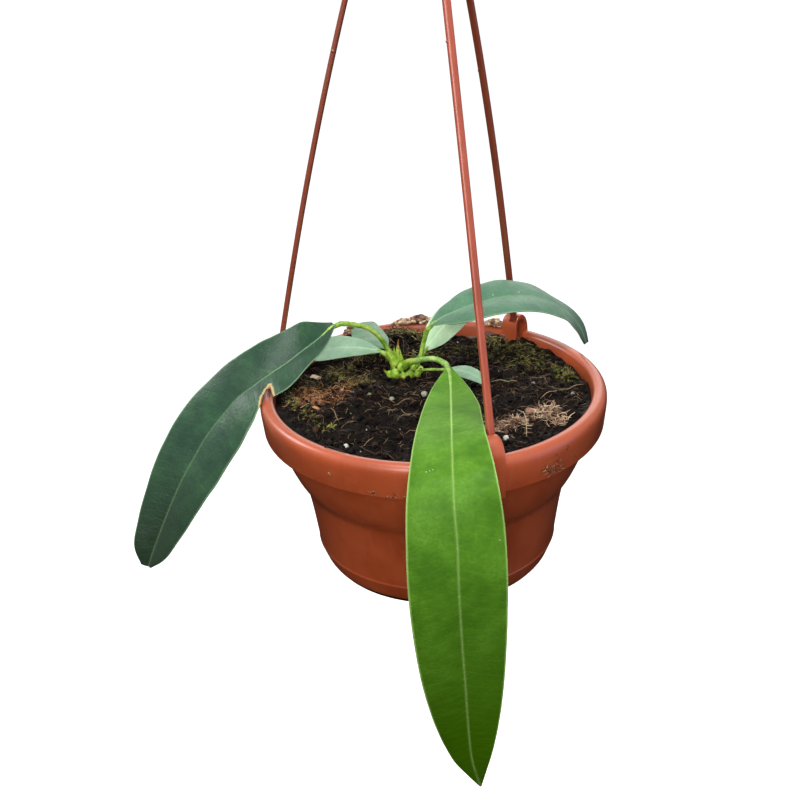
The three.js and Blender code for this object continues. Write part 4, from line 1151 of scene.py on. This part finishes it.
def make_crown():
    shape = Shape()
    points, faces = ball(4)
    for centre, radii in CROWN_LUMPS:
        middle = CROWN + Vector(centre)
        knobbly = []
        for p in points:
            bulge = 1 + 0.1 * noise.noise(p * 2.2 + middle)
            knobbly.append(middle + Vector([a * b * bulge for a, b in zip(p, radii)]))
        shape.add(knobbly, faces)
    foot = [CROWN + Vector((0, 0, z)) for z in (-30, -24, -16, -6)]
    shape.add(*round_tube(foot, [5.4, 5.6, 5.9, 6.2], 32))
    for rows, start, end in CROWN_TUBES:
        path = [CROWN + p for p in smooth_path(rows, 14)]
        radii = [start + (end - start) * (i / 13) ** 1.5 for i in range(14)]
        shape.add(*round_tube(path, radii, 20))
    for foot_place, tip_place, thick in BUDS:
        foot_place, tip_place = Vector(foot_place), Vector(tip_place)
        rise = Vector((0, 0, 0.25 * (tip_place - foot_place).length))
        path, radii = [], []
        for i in range(9):
            share = i / 8
            path.append(CROWN + foot_place.lerp(tip_place, share) - rise * (share * (1 - share) * 2))
            radii.append(thick * (0.8 + 0.6 * share - 1.2 * share ** 5))
        shape.add(*round_tube(path, radii, 16))
    crown = object_of("crown_stem", shape, [stem])
    face_outward(crown)
    change = crown.modifiers.new("merge", "REMESH")
    change.mode = "VOXEL"
    change.voxel_size = CROWN_VOXEL * MM
    change.use_smooth_shade = True
    soften = crown.modifiers.new("soften", "SMOOTH")
    soften.factor = 0.5
    soften.iterations = 5
    settle(crown)
    tint = crown.data.attributes.get("tint") or crown.data.attributes.new("tint", "FLOAT", "POINT")
    scars = []
    for v in crown.data.vertices:
        height = v.co.z / MM + HANG_HEIGHT
        scars.append(0.75 * (1 - ease(height, -11, -5)) + 0.25)
    tint.data.foreach_set("value", scars)
    # Painted shade: how deep each point lies in a crevice darkens the stem there
    crown.data.attributes.new("crevice_shade", "FLOAT", "POINT").data.foreach_set("value", crevices(crown.data))
    ride_as(crown, "stem", "crown")

    folds = Shape()
    for sheath in SHEATHS:
        path = [CROWN + p for p in smooth_path(sheath["rows"], 12)]
        radii = [sheath["radius"] * max(0.06, 1 - (i / 11) ** 1.5) for i in range(12)]
        tube_points, tube_faces = round_tube(path, radii, 12)
        ribbed = []
        browned = []
        for i, p in enumerate(tube_points):
            middle = path[i // 12]
            flatten = 1 + 0.16 * math.cos(3 * 2 * math.pi * (i % 12) / 12)
            ribbed.append(tuple(middle + (Vector(p) - middle) * flatten))
            browned.append(0.2 + sheath["brown"] * ease(i // 12, 5, 10))
        folds.add(ribbed, tube_faces, browned)
    piece("crown_sheaths", folds, [sheath_skin], "stem")


# Soil: the bed with its clods, and what lies on it

# The wall's inside above the skirt's shoulder, as (radius, height)
INNER_WALL = [(92.9, -1.4), (91.9, -6), (91, -20), (86.7, -36)]


def wall_radius(z):
    """How far out the wall's inside is at a height."""
    for (up, high), (down, low) in zip(INNER_WALL, INNER_WALL[1:]):
        if z >= low:
            return down + (up - down) * min(1.0, (z - low) / (high - low))
    return INNER_WALL[-1][0]


# Where the soil rises into low heaps: x and y of the middle, half width, half depth and height
SOIL_HEAPS = [(-27, 84, 26, 16, 8.5), (-74, -22, 18, 26, 3.5), (66, 52, 30, 26, 3.6), (56, 80, 22, 15, 6.4)]


def soil_height(x, y):
    """The soil's height without its crumbs: it sinks towards the back, with low heaps and hollows."""
    height = -4.2 - 5.6 * ease(y, -60, 70)
    for middle_x, middle_y, wide, deep, tall in SOIL_HEAPS:
        height += tall * math.exp(-((x - middle_x) / wide) ** 2 - ((y - middle_y) / deep) ** 2)
    height += 0.9 * math.sin(x * 0.21 + 1.3) * math.sin(y * 0.19 + 0.4)
    return height + 0.6 * math.sin(x * 0.47 + y * 0.33) * math.sin(y * 0.41 - x * 0.23 + 2)


def clod_height(x, y):
    """The soil's height with its crumb structure: lumps of about 7, 3 and 1 mm with gaps between."""
    big = noise.voronoi(Vector((x / 7.5, y / 7.5, 0.3)))[0][0]
    small = noise.voronoi(Vector((x / 3.1, y / 3.1, 5.1)))[0][0]
    rough = noise.turbulence(Vector((x / 2.2, y / 2.2, 8.0)), 3, False)
    relief = 1 - 0.75 * ease(math.hypot(x, y), 82, 90)
    return soil_height(x, y) + relief * (2.9 * (0.5 - big) + 1.7 * (0.5 - small) + 1.3 * (rough - 0.6))


# Where a lug's room in the soil is centred, its half depth, and how deep the soil is let down there
LUG_OUT = 96
LUG_HALF_OUT = 7.6
LUG_PIT = 10


def lug_distance(x, y):
    """How far a place in plan is from the nearest of the rooms that the lugs take in the soil."""
    gaps = []
    for rod in RODS.values():
        middle = at_lug(rod["azimuth"], rod["lug"] + LUG_LENGTH / 2, LUG_OUT, 0)
        off = Vector((x, y, 0)) - middle
        along = abs(off.dot(at_lug(rod["azimuth"], 1, 0, 0))) - LUG_LENGTH / 2
        out = abs(off.dot(at_lug(rod["azimuth"], 0, 1, 0))) - LUG_HALF_OUT
        gaps.append(math.hypot(max(0.0, along), max(0.0, out)))
    return min(gaps)


SOIL_SEGMENTS = 340
SOIL_RINGS = 108
# The sunk side of the soil: heights, and how far it stays off the wall's inside
SOIL_SIDE = [(-24, 0.5), (-60, 16), (-90.0, 20)]

# How many of each are drawn, before those on the lugs and the crown are left out
CRUMBS = 2500
ROOT_FIBRES = 560
HAIR_ROOTS = 2600

# How many prills and grains of perlite lie on the soil in all
PRILL_COUNT = 60


def make_soil():
    points = []
    tints = []
    rows = []
    for ring in range(SOIL_RINGS + 1):
        share = 1 - ring / SOIL_RINGS
        if ring == SOIL_RINGS:
            rows.append([len(points)] * SOIL_SEGMENTS)
            points.append((0.0, 0.0, clod_height(0, 0)))
            tints.append(0.45)
            continue
        rows.append(list(range(len(points), len(points) + SOIL_SEGMENTS)))
        for j in range(SOIL_SEGMENTS):
            angle = 2 * math.pi * j / SOIL_SEGMENTS
            cos, sin = math.cos(angle), math.sin(angle)
            edge = wall_radius(soil_height(90 * cos, 90 * sin)) - 0.3
            radius = edge * share
            x, y = radius * cos, radius * sin
            z = clod_height(x, y) - LUG_PIT * (1 - ease(lug_distance(x, y), 0.0, 0.9))
            points.append((x, y, z))
            tints.append(0.5 + 0.25 * noise.noise(Vector((x / 9, y / 9, 2))))
    for depth, inset in SOIL_SIDE:
        rows.insert(0, list(range(len(points), len(points) + SOIL_SEGMENTS)))
        for j in range(SOIL_SEGMENTS):
            angle = 2 * math.pi * j / SOIL_SEGMENTS
            points.append(around(wall_radius(-20) - inset, angle, depth))
            tints.append(0.4)
    rows.insert(0, [len(points)] * SOIL_SEGMENTS)
    points.append((0.0, 0.0, SOIL_SIDE[-1][0]))
    tints.append(0.4)
    shape = Shape()
    shape.add(points, bridged(rows), tints)
    piece("peat_bed", shape, [peat], "peat", "soil")


# How far out the middle of a heaped strand or a tuft may lie, how far out a lying strand may wander,
# and how far out a heaped one may reach
HEAP_REACH = 88.5
STRAND_REACH = 90.5
TANGLE_REACH = 90.6


def in_lug_room(x, y):
    return lug_distance(x, y) < 1.4


def near_crown(x, y, reach):
    return math.hypot(x - CROWN.x - 3, y - CROWN.y) < reach


def scattered(draw, count, reach, clear):
    """Draws places evenly over the soil within reach, and gives those off the lugs and the crown."""
    for i in range(count):
        x, y, z = around(reach * math.sqrt(draw.random()), draw.random() * 2 * math.pi)
        if not in_lug_room(x, y) and not near_crown(x, y, clear):
            yield x, y


def in_oval(draw, centre, long, wide, turn, spread):
    """Draws a place in an oval patch, and gives how far along and across the patch it lies as well."""
    cos, sin = math.cos(math.radians(turn)), math.sin(math.radians(turn))
    u = draw.gauss(0, spread) * long
    v = draw.gauss(0, spread) * wide
    return centre[0] + u * cos - v * sin, centre[1] + u * sin + v * cos, u, v


def tipped(turn, tip):
    return Matrix.Rotation(turn, 3, "Z") @ Matrix.Rotation(tip, 3, "X")


def crumb(shape, draw, x, y, size, tint, template, sink=0.25):
    """One crumb of peat or bark: a lump with uneven sides, half sunk where it lies."""
    points, faces = template
    stretch = Vector((0.7 + 0.9 * draw.random(), 0.7 + 0.6 * draw.random(), 0.5 + 0.5 * draw.random()))
    turn = tipped(draw.random() * FULL_TURN, (draw.random() - 0.5) * 1.2)
    offset = Vector((draw.random() * 40, draw.random() * 40, 0))
    middle = Vector((x, y, clod_height(x, y) + size * sink))
    made = []
    for p in points:
        bulge = 1 + 0.45 * noise.noise(p * 1.6 + offset)
        made.append(tuple(turn @ Vector([a * b * bulge * size for a, b in zip(p, stretch)]) + middle))
    shape.add(made, faces, tint)


def make_crumbs():
    draw = random.Random(5)
    fine = ball(2)
    coarse = ball(1)
    shape = Shape()
    for x, y in scattered(draw, CRUMBS, 89.5, 8):
        big = draw.random() < 0.28
        size = 0.9 + 1.3 * draw.random() ** 2 if big else 0.4 + 0.6 * draw.random()
        tint = min(1.0, max(0.0, draw.gauss(0.42, 0.2)))
        crumb(shape, draw, x, y, size, tint, fine if big else coarse)
    piece("peat_crumbs", shape, [peat], "peat")


def lying_strand(shape, draw, start, heading, length, radius, curl, tint, lift=0.0, sides=4, skin=0):
    """A fibre that wanders over the soil, rising and dipping as loose fibre does."""
    steps = max(5, round(length / 2.2))
    x, y = start
    path = []
    bow = (0.5 + draw.random()) * lift
    for i in range(steps + 1):
        share = i / steps
        z = clod_height(x, y) + radius + 0.25 + bow * math.sin(math.pi * share) * length * 0.1
        path.append(Vector((x, y, z)))
        heading += (draw.random() - 0.5) * curl
        x += math.cos(heading) * length / steps
        y += math.sin(heading) * length / steps
        if math.hypot(x, y) > STRAND_REACH or in_lug_room(x, y):
            break
    if len(path) < 4:
        return
    for i in range(1, len(path) - 1):
        path[i].z = (path[i - 1].z + path[i].z + path[i + 1].z) / 3 + 0.15
    radii = [radius * (1 - 0.6 * abs(2 * i / (len(path) - 1) - 1) ** 3) for i in range(len(path))]
    shape.add(*round_tube(path, radii, sides), tint=tint, skin=skin)


def tangle(shape, draw, centre, long, wide, turn, rise, count, radius, tints, skin=0):
    """A loose tangle of curled fibres heaped in a low oval."""
    for i in range(count):
        x, y, u, v = in_oval(draw, centre, long, wide, turn, 0.42)
        if math.hypot(x, y) > HEAP_REACH or in_lug_room(x, y):
            continue
        height = clod_height(x, y) + rise * draw.random() * math.exp(-(u / long) ** 2 - (v / wide) ** 2)
        heading = Vector((draw.gauss(0, 1), draw.gauss(0, 1), draw.gauss(0, 0.35))).normalized()
        place = Vector((x, y, height + 0.3))
        path = [place.copy()]
        bend = Vector((draw.gauss(0, 1), draw.gauss(0, 1), draw.gauss(0, 0.6))) * 0.6
        length = 2.5 + 25 * radius * draw.random()
        steps = 6
        for step in range(steps):
            heading = (heading + bend).normalized()
            place = place + heading * (length / steps)
            place.z = max(place.z, clod_height(place.x, place.y) + 0.1)
            place.z = min(place.z, clod_height(place.x, place.y) + rise + 1.4)
            path.append(place.copy())
        if max(math.hypot(p.x, p.y) for p in path) > TANGLE_REACH:
            continue
        thick = radius * (0.6 + 0.8 * draw.random())
        shape.add(
            *round_tube(path, [thick * (1 - 0.5 * (k / steps) ** 2) for k in range(steps + 1)], 4),
            tint=tints[0] + (tints[1] - tints[0]) * draw.random(), skin=skin,
        )


def make_fibres():
    draw = random.Random(11)
    shape = Shape()
    for x, y in scattered(draw, ROOT_FIBRES, 88, 9):
        length = 4 + 12 * draw.random() ** 2
        tint = 0.85 * draw.random() ** 2.6
        heading = draw.random() * FULL_TURN
        radius = 0.11 + 0.13 * draw.random()
        lying_strand(shape, draw, (x, y), heading, length, radius, 0.9, tint, 0.5)
    piece("root_fibres", shape, [dark_fibre], "peat")


def make_hairs():
    """Hair roots and shreds of peat that lie all over the bed, most of them in its browner half."""
    draw = random.Random(13)
    shape = Shape()
    for x, y in scattered(draw, HAIR_ROOTS, 88, 9):
        if draw.random() > 0.3 + 0.7 * ease(y, -50, 20):
            continue
        green = math.hypot(x - 34, y - 34) < 24 and draw.random() < 0.55
        length = 2.5 + 7 * draw.random() ** 1.5
        tint = 0.1 + 0.95 * draw.random() ** 1.5
        heading = draw.random() * FULL_TURN
        radius = 0.06 + 0.07 * draw.random()
        lying_strand(shape, draw, (x, y), heading, length, radius, 1.5, tint, 1.6, 3, 1 if green else 0)
    piece("hair_roots", shape, [dark_fibre, weed], "peat")


# Straws and thin sticks that can be told apart: where each starts, heading, length and radius
STRAWS = [
    ((47.3, -26.5), -79, 34, 0.3), ((74, 1.5), 5, 19, 0.3), ((34, 15.5), -4, 18, 0.26),
    ((-59, -22), -60, 18, 0.3), ((-50, -30), -118, 14, 0.24), ((-22, -15), 12, 12, 0.28),
    ((-19, -20), -64, 16, 0.26), ((-10, -28), -132, 14, 0.24), ((-30, -4), -40, 12, 0.22),
    ((-84, -12), -38, 12, 0.26), ((-79, -26), 34, 13, 0.24), ((62, -8), 28, 18, 0.2),
    ((20, -45), 40, 14, 0.2),
]


def make_straws():
    draw = random.Random(23)
    shape = Shape()
    for start, heading, length, radius in STRAWS:
        tint = 0.1 + 0.6 * draw.random()
        lying_strand(shape, draw, start, math.radians(heading), length, radius, 0.14, tint, 0.8, 6)
    piece("dry_straws", shape, [straw], "coir")


# Heaps of coir and dry moss: for each, its finish and its groups of strands. A group has its middle,
# half length and width, turn, rise, count, strand radius and the range of its tints.
COIR_HEAPS = {
    "coir_left": (coir_fibre, [
        ((-64, -8), 20, 13, 40, 3.2, 230, 0.17, (0.05, 1.0)),
        ((-72, 6), 12, 9, 60, 2.6, 110, 0.17, (0.1, 1.0)),
        ((-50, 18), 12, 8, 60, 2, 60, 0.16, (0.1, 0.9)),
    ]),
    "coir_front": (tan_fibre, [
        ((34, -52), 10, 8, 38, 3.6, 190, 0.19, (-0.1, 0.9)),
        ((46, -46), 9, 6, 10, 3, 130, 0.18, (0.0, 1.0)),
    ]),
    "coir_right": (tan_fibre, [
        ((62, -34), 9, 5.5, 12, 5, 150, 0.24, (-0.1, 1.3)), ((70, -45), 8, 5, 60, 3, 70, 0.2, (-0.1, 1.0)),
    ]),
    "crust_back": (moss_strand, [
        ((-26, 82), 15, 6, 14, 3, 170, 0.2, (0.0, 1.0)), ((-46, 74), 8, 6, 14, 2.4, 80, 0.2, (0.0, 1.0)),
        ((-6, 83), 12, 6, 4, 2.6, 130, 0.2, (0.0, 1.0)), ((44, 80), 10, 5, -20, 3, 90, 0.2, (0.0, 0.9)),
    ]),
}


def make_coir():
    draw = random.Random(31)
    for node, (skin, groups) in COIR_HEAPS.items():
        shape = Shape()
        for group in groups:
            tangle(shape, draw, *group)
        template = ball(2)
        for i in range(34):
            x, y, u, v = in_oval(draw, *groups[0][:4], 0.4)
            if math.hypot(x, y) < 88:
                crumb(shape, draw, x, y, 0.7 + 1.3 * draw.random(), 0.15 + 0.6 * draw.random(), template, 0.6)
        piece(node + "_tangle", shape, [skin], "coir", node)


def tuft(shape, draw, x, y, size, tint):
    """A tuft of moss: short pointed leaflets fanned round an upright shoot."""
    base = Vector((x, y, clod_height(x, y) - 0.3))
    count = 6 + int(draw.random() * 4)
    for i in range(count):
        angle = 2 * math.pi * (i + draw.random() * 0.7) / count
        lean = 0.25 + 0.8 * draw.random()
        out = Vector(around(1, angle))
        length = size * (0.7 + 0.6 * draw.random())
        path = [
            base, base + (out * lean * 0.35 + Vector((0, 0, 0.5))) * length,
            base + (out * lean * 0.85 + Vector((0, 0, 0.85))) * length,
        ]
        width = size * 0.13
        rim = round_tube(path, [width * 0.6, width, width * 0.12], 4)
        shades = [tint - 0.35] * 4 + [tint] * 4 + [tint + 0.3] * 4
        shape.add(rim[0], rim[1], shades)


# Beds of moss: middle, half length and width, turn and count of tufts
MOSS_BEDS = {
    "moss_left": [
        ((-78, -14), 26, 8, 98, 170), ((-58, 34), 14, 10, 60, 150), ((-72, 12), 12, 9, 70, 110),
        ((-46, 24), 12, 8, 10, 90), ((-64, -40), 14, 7, -50, 60), ((-32, 62), 16, 10, 0, 80),
    ],
    "moss_back": [
        ((62, 46), 32, 16, -38, 400), ((40, 66), 22, 12, -20, 220), ((79, 24), 16, 8, -68, 190),
        ((18, 70), 14, 9, 0, 90), ((-4, 60), 16, 10, 0, 80),
    ],
}
# Where strands of moss lie curled together: middle, half length and width, turn and count
CURLED_MOSS = {
    "moss_left": [
        ((-59, 36), 10, 6, 20, 90), ((-50, 50), 9, 6, 40, 60), ((-43, 21), 9, 6, 0, 60),
        ((-74, 16), 9, 6, 60, 50), ((-82, -8), 14, 5, 98, 60), ((-30, 62), 14, 9, 0, 80),
    ],
    "moss_back": [
        ((-4, 62), 16, 9, 0, 90), ((50, 42), 22, 10, -20, 110), ((64, 58), 16, 9, -40, 100),
        ((82, 26), 12, 6, -70, 60), ((40, 72), 14, 7, -10, 70),
    ],
}


def make_moss():
    draw = random.Random(47)
    for node, beds in MOSS_BEDS.items():
        shape = Shape()
        for centre, long, wide, turn, count in CURLED_MOSS[node]:
            tangle(shape, draw, centre, long, wide, turn, 2.4, count, 0.15, (0.05, 1.1), 1)
        for centre, long, wide, turn, count in beds:
            for i in range(count):
                x, y, u, v = in_oval(draw, centre, long, wide, turn, 0.45)
                if math.hypot(x, y) > HEAP_REACH or in_lug_room(x, y) or near_crown(x, y, 11):
                    continue
                tuft(shape, draw, x, y, 0.8 + 1.2 * draw.random(), 0.1 + 0.75 * draw.random() ** 1.5)
        piece(node + "_tufts", shape, [moss, moss_strand], "moss", node)


# Prills and grains of perlite that can be told apart: where each lies, its radius and its tint
PRILLS = [
    ((-47.5, -65), 1.6, 0.9), ((-24, -6), 1.8, 0.4), ((-5, -3.5), 1.9, 0.4), ((-37, 0), 1.6, 0.1),
    ((60, 13), 1.3, 1.0), ((81.5, -4), 1.1, 1.0), ((38.6, -63.5), 1.6, 1.0),
]


def make_prills():
    draw = random.Random(53)
    shape = Shape()
    points, faces = ball(3)
    places = list(PRILLS)
    lying = scattered(draw, 10 * PRILL_COUNT, 86, 11)
    while len(places) < PRILL_COUNT:
        places.append((next(lying), 0.25 + 0.35 * draw.random(), 0.2 + 0.8 * draw.random()))
    for (x, y), size, tint in places:
        offset = Vector((x, y, 0))
        middle = Vector((x, y, clod_height(x, y) + size * 0.45))
        made = []
        for p in points:
            made.append(tuple(p * size * (1 + 0.16 * noise.noise(p * 1.7 + offset)) + middle))
        shape.add(made, faces, tint)
    piece("prills_and_perlite", shape, [prill], "peat")


# Flat chips of bark: where each lies, length, width, turn and tint
BARK = [
    ((-70.5, 30), 9, 4.4, -40, 0.98), ((-3, 70), 9, 5, 60, 0.1), ((40, 84), 10, 6, 30, 0.2),
    ((48, 76), 8, 5, -20, 0.3), ((28, 86), 8, 5, 10, 0.25),
]


def make_chips():
    draw = random.Random(61)
    shape = Shape()
    for (x, y), long, wide, turn, tint in BARK:
        height = clod_height(x, y) + 0.9
        spin = tipped(math.radians(turn), (draw.random() - 0.5) * 0.7)
        points, faces = ball(3)
        offset = Vector((x * 0.3, y * 0.3, 0))
        made = []
        for p in points:
            reach = (abs(p.x) ** 4 + abs(p.y) ** 4 + abs(p.z) ** 4) ** -0.25
            slab = Vector((p.x * long / 2, p.y * wide / 2, p.z * 0.9)) * reach
            slab *= 1 + 0.28 * noise.noise(p * 1.5 + offset)
            made.append(tuple(spin @ slab + Vector((x, y, height))))
        shape.add(made, faces, tint)
    piece("bark_chips", shape, [tan_fibre], "peat")


# Peat and fibre washed up over the rim: azimuth, half spread in degrees, height of the heap and count
RIM_HEAPS = [
    (94.5, 4.2, 4.6, 90), (101, 4.5, 2.4, 60), (122, 3.2, 3.2, 40), (64, 4.0, 3.2, 70),
]
# How far out the heaps lie
RIM_MIDDLE = 94.6


def make_rim_heaps():
    draw = random.Random(83)
    shape = Shape()
    template = ball(2)
    for azimuth, spread, tall, count in RIM_HEAPS:
        for i in range(count):
            share = draw.gauss(0, 0.45)
            angle = math.radians(azimuth + share * spread)
            out = RIM_MIDDLE + draw.gauss(0, 1.4)
            high = 0.4 + tall * draw.random() * math.exp(-share ** 2 * 1.6)
            place = Vector(around(out, angle, high))
            tint = 0.1 + 0.9 * draw.random()
            if draw.random() < 0.3:
                heading = Vector((draw.gauss(0, 1), draw.gauss(0, 0.6), draw.gauss(0, 0.15))).normalized()
                bend = Vector((draw.gauss(0, 1), draw.gauss(0, 1), draw.gauss(0, 0.6))) * 0.4
                path = [place.copy()]
                for step in range(6):
                    heading = (heading + bend).normalized()
                    place = place + heading * 0.7
                    place.z = min(max(place.z, 0.3), tall)
                    path.append(place.copy())
                shape.add(*round_tube(path, [0.2] * 6 + [0.1], 4), tint=tint)
            else:
                size = 0.6 + 1.1 * draw.random()
                offset = Vector((i * 1.7, azimuth, 0))
                points = []
                for p in template[0]:
                    bulge = size * (1 + 0.4 * noise.noise(p * 1.6 + offset))
                    points.append(tuple(place + Vector((p.x * 1.3, p.y, p.z * 0.8)) * bulge))
                shape.add(points, template[1], tint)
    piece("rim_heaps", shape, [tan_fibre], "peat")


# Where the seedling stands, and the heading and length of each of its leaves
SEEDLING = (-56, -46)
SEED_LEAVES = [(100, 4), (20, 3), (200, 3.2), (150, 2.4), (300, 2.6)]


def make_seedling():
    """The little green seedling at the front left of the soil."""
    draw = random.Random(67)
    shape = Shape()
    foot = Vector((*SEEDLING, clod_height(*SEEDLING)))
    for angle, length in SEED_LEAVES:
        out = Vector(around(1, math.radians(angle)))
        path = []
        for share in (0, 0.3, 0.6, 0.85, 1.0):
            path.append(foot + out * (length * share) + Vector((0, 0, 1.6 * math.sin(share * 2.2))))
        shape.add(*round_tube(path, [0.2, 0.3, 0.55, 0.5, 0.1], 6), tint=0.7 + 0.1 * draw.random())
    piece("seedling", shape, [moss], "moss")


# What has stuck to the pot: soil splashes on the skirt band, and a twig by the rim

# The band's radius at its lower edge, how much wider it is at its top, and how high that is above
BAND_LOW_RADIUS = 99.6
BAND_FLARE = 1.4
BAND_TALL = 14.5


def on_band(azimuth, z, out=0.0):
    radius = BAND_LOW_RADIUS + (z + BAND_DEPTH) / BAND_TALL * BAND_FLARE + out
    return Vector(around(radius, math.radians(azimuth), z))


# Splashes on the skirt band: azimuth, height, spread, tallness and count
BAND_DIRT = [
    (-52.5, -14, 5.5, 4.5, 46), (-48.5, -17, 3, 3, 12), (-41, -14.5, 0.8, 1, 3), (-45.5, -6, 0.8, 1, 2),
    (-109, -18, 1.6, 1.4, 8), (-103, -19, 2.6, 1.0, 9), (-98, -19, 1.2, 1.0, 5), (-124, -12, 1.2, 1.2, 4),
]
# The twig's path
TWIG = [
    [-58, -75.6, -0.4], [-55.6, -76.6, 0.7], [-53, -78.6, 0.75], [-50, -80.8, 0.6], [-47.4, -82.2, 0.4],
]


def make_rim_dirt():
    draw = random.Random(71)
    shape = Shape()
    template = ball(1)
    for azimuth, z, spread, tall, count in BAND_DIRT:
        for i in range(count):
            high = z + draw.gauss(0, 0.5) * tall
            high = min(max(high, -19.6), -5.6)
            place = on_band(azimuth + draw.gauss(0, 0.5) * spread * 0.57, high, -0.1)
            if draw.random() < 0.45:
                heading = Vector((-place.y, place.x, 0)).normalized() * draw.gauss(0, 1)
                heading = (heading + Vector((0, 0, draw.gauss(0, 0.8)))).normalized()
                length = 1.2 + 2.2 * draw.random()
                path = []
                for step in range(5):
                    p = place + heading * (length * step / 4)
                    p.z = min(max(p.z, -19.8), -5.4)
                    angle = math.degrees(math.atan2(p.y, p.x))
                    out = 0.12 + 0.25 * math.sin(math.pi * step / 4)
                    path.append(on_band(angle, p.z + 0.001 * step, out))
                shape.add(*round_tube(path, [0.14] * 5, 5), tint=0.2 + 0.7 * draw.random())
            else:
                size = 0.25 + 0.4 * draw.random()
                points = [tuple(p * size * (0.8 + 0.4 * draw.random()) + place) for p in template[0]]
                shape.add(points, template[1], 0.2 + 0.7 * draw.random())
    shape.add(*round_tube(smooth_path(TWIG, 14), [0.34] * 14, 6), tint=0.05)
    piece("dirt_on_band", shape, [dark_fibre], "peat")


# Lime spots: where each is and its half length
SPECKS = [
    ((37.8, 39.0, 38.6), 0.55), ((53.3, 42.4, 38.6), 0.6), ((-4.3, -115.9, 5.7), 0.5),
    ((-1.0, -114.9, 6.3), 0.45), ((-2.6, -115.4, 6.0), 0.4), ((26.6, -122.6, 2.2), 0.4),
    ((29.9, -124.9, -2.7), 0.5), ((28.4, -123.2, 1.1), 0.35), ((31.0, -130.2, -26.0), 0.4),
]


def make_leaf_specks():
    """Dried lime spots that watering has left on the leaves, too low to feel."""
    shape = Shape()
    points, faces = ball(2)
    for place, size in SPECKS:
        made = []
        for p in points:
            made.append(tuple(Vector(place) + Vector((p.x * size, p.y * size * 0.5, p.z * size * 0.5))))
        shape.add(made, faces, 1.0)
    piece("lime_spots", shape, [prill], "bright_leaf")


# Light and floor

# How far the floor lies under the hook, and half its width, in metres
FLOOR_DROP = 1.25
FLOOR_HALF = 40.0
SKY_STRENGTH = 0.5


def light_studio():
    world = bpy.data.worlds.new("studio")
    bpy.context.scene.world = world
    world.use_nodes = True
    tree = world.node_tree
    tree.nodes.clear()
    direction = add(tree, "TexCoord").outputs["Generated"]
    parts = add(tree, "SeparateXYZ", {"Vector": direction})
    height = add(tree, "MapRange", {"Value": parts.outputs["Z"], "From Min": -1.0, "From Max": 1.0})
    dome = add(tree, "ValToRGB", {"Fac": height}, [
        (0.0, "#141312"), (0.3, "#2a2826"), (0.47, "#6a6866"), (0.53, "#c4c6c8"), (0.7, "#f0f3f6"),
        (1.0, "#d8dcde"),
    ])
    sky = add(tree, "Background", {"Color": dome, "Strength": SKY_STRENGTH})
    add(tree, "OutputWorld", {"Surface": sky})


# Each lamp's place, what it faces, its width in metres, its watts and its tint
LAMPS = [
    ("key", (-0.2, -1.7, 0.4), (0, 0, -0.42), 1.1, 20.5, "#ffffff"),
    ("above", (0.05, -0.5, 1.1), (0, 0, -0.37), 0.5, 16.5, "#ffffff"),
    ("left", (-1.3, 0.4, 0.45), (0, 0, -0.38), 0.7, 8.0, "#ffffff"),
    ("right", (1.5, -0.5, -0.35), (0, 0, -0.42), 1.2, 3.0, "#b8ccff"),
    ("behind", (0.1, 1.4, 0.25), (0, 0, -0.38), 1.3, 5.0, "#fff6f2"),
]


def soft_box(name, place, aim, size, power, tint):
    lamp = bpy.data.lights.new(name, "AREA")
    lamp.shape = "DISK"
    lamp.size = size
    lamp.energy = power
    lamp.color = linear(tint)[:3]
    made = bpy.data.objects.new(name, lamp)
    made.location = place
    made.rotation_mode = "QUATERNION"
    made.rotation_quaternion = (Vector(aim) - Vector(place)).to_track_quat("-Z", "Y")
    bpy.context.scene.collection.objects.link(made)


def lay_floor():
    shape = Shape()
    half = FLOOR_HALF / MM
    level = -FLOOR_DROP / MM + HANG_HEIGHT
    corners = [(-half, -half, level), (half, -half, level), (half, half, level), (-half, half, level)]
    shape.add(corners, [(0, 1, 2, 3)])
    floor = object_of("floor", shape, [backdrop])
    floor.visible_diffuse = False
    floor.visible_glossy = False


place_camera()
light_studio()
for lamp_values in LAMPS:
    soft_box(*lamp_values)
lay_floor()
bpy.context.scene.view_settings.view_transform = "Standard"

make_pot()
for rod_name, rod_values in RODS.items():
    make_rod(rod_name, rod_values)
make_hook()
for leaf_name, leaf_values in LEAVES.items():
    make_leaf(leaf_name, leaf_values)
for make in (
    make_crown, make_soil, make_crumbs, make_fibres, make_hairs, make_straws, make_coir, make_moss,
    make_prills, make_chips, make_rim_heaps, make_seedling, make_rim_dirt, make_leaf_specks,
):
    make()
